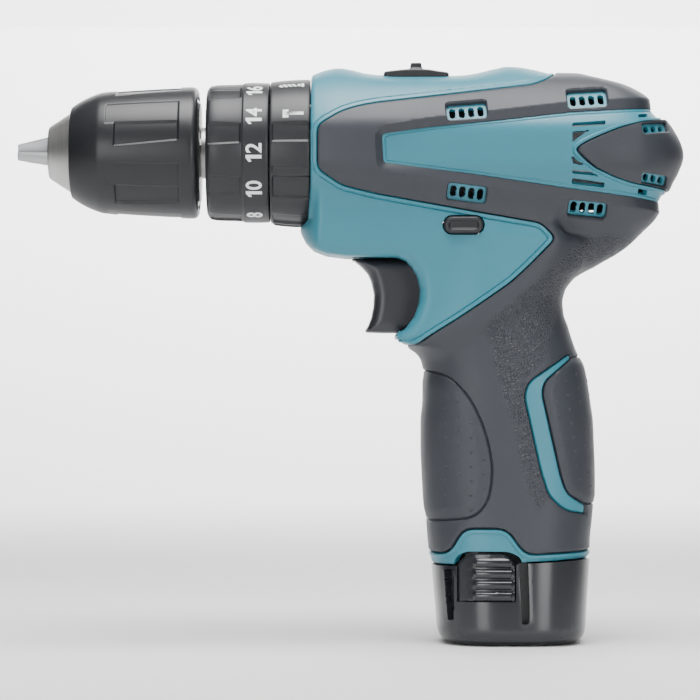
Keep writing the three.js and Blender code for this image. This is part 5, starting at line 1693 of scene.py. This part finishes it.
class DrillLooks(bpy.types.PropertyGroup):
    shell_colour: FloatVectorProperty(name="Shell", description="Colour of the moulded shell",
                                      subtype="COLOR", default=(0.030, 0.185, 0.245))
    rubber_colour: FloatVectorProperty(name="Rubber", description="Colour of the soft overmould",
                                       subtype="COLOR", default=(0.027, 0.0305, 0.039))
    black_colour: FloatVectorProperty(name="Black parts", description="Colour of the black mouldings",
                                      subtype="COLOR", default=(0.011, 0.0115, 0.0135))


class DRILL_OT_stage(bpy.types.Operator):
    """Floor, lights and camera"""
    bl_idname = "drill.stage"
    bl_label = "Stage"

    def execute(self, context):
        build_stage()
        return {"FINISHED"}


class DRILL_OT_materials(bpy.types.Operator):
    """Materials for every finish"""
    bl_idname = "drill.materials"
    bl_label = "Materials"

    def execute(self, context):
        make_materials(context.scene.drill_looks)
        return {"FINISHED"}


class DRILL_OT_body(bpy.types.Operator):
    """Shells, overmoulds, pads and vents of the housing"""
    bl_idname = "drill.body"
    bl_label = "Body"

    def execute(self, context):
        build_body(context.scene.drill_sizes)
        return {"FINISHED"}


class DRILL_OT_chuck(bpy.types.Operator):
    """Chuck nose, jaws, sleeve and spindle collar"""
    bl_idname = "drill.chuck"
    bl_label = "Chuck"

    def execute(self, context):
        build_chuck()
        build_sleeve()
        return {"FINISHED"}


class DRILL_OT_rings(bpy.types.Operator):
    """Torque dial and mode collar with their printed marks"""
    bl_idname = "drill.rings"
    bl_label = "Rings"

    def execute(self, context):
        build_torque_ring()
        build_mode_ring()
        build_marks(context.scene.drill_sizes)
        return {"FINISHED"}


class DRILL_OT_controls(bpy.types.Operator):
    """Trigger, direction slider and speed slider"""
    bl_idname = "drill.controls"
    bl_label = "Controls"

    def execute(self, context):
        build_trigger()
        build_button()
        build_selector()
        return {"FINISHED"}


class DRILL_OT_battery(bpy.types.Operator):
    """Battery case and its two latches"""
    bl_idname = "drill.battery"
    bl_label = "Battery"

    def execute(self, context):
        build_battery()
        return {"FINISHED"}


class DRILL_OT_details(bpy.types.Operator):
    """Housing screws and grip dimples"""
    bl_idname = "drill.details"
    bl_label = "Details"

    def execute(self, context):
        tree = scatter_tree("Scatter")
        build_screws(tree)
        build_dimples(tree, context.scene.drill_sizes)
        return {"FINISHED"}


class DRILL_PT_panel(bpy.types.Panel):
    bl_label = "Cordless drill"
    bl_space_type = "VIEW_3D"
    bl_region_type = "UI"
    bl_category = "Drill"

    def draw(self, context):
        for group in (context.scene.drill_sizes, context.scene.drill_looks):
            for name in group.bl_rna.properties.keys():
                if name not in ("rna_type", "name"):
                    self.layout.prop(group, name)
        for operator in OPERATORS:
            self.layout.operator(operator.bl_idname)


OPERATORS = (DRILL_OT_stage, DRILL_OT_materials, DRILL_OT_body, DRILL_OT_chuck, DRILL_OT_rings,
             DRILL_OT_controls, DRILL_OT_battery, DRILL_OT_details)
CLASSES = (DrillSizes, DrillLooks, *OPERATORS, DRILL_PT_panel)


def register():
    for cls in CLASSES:
        bpy.utils.register_class(cls)
    bpy.types.Scene.drill_sizes = PointerProperty(type=DrillSizes)
    bpy.types.Scene.drill_looks = PointerProperty(type=DrillLooks)


def unregister():
    del bpy.types.Scene.drill_looks
    del bpy.types.Scene.drill_sizes
    for cls in reversed(CLASSES):
        bpy.utils.unregister_class(cls)


def main():
    register()
    for operator in OPERATORS:
        group, name = operator.bl_idname.split(".")
        getattr(getattr(bpy.ops, group), name)()


if __name__ == "__main__":
    main()
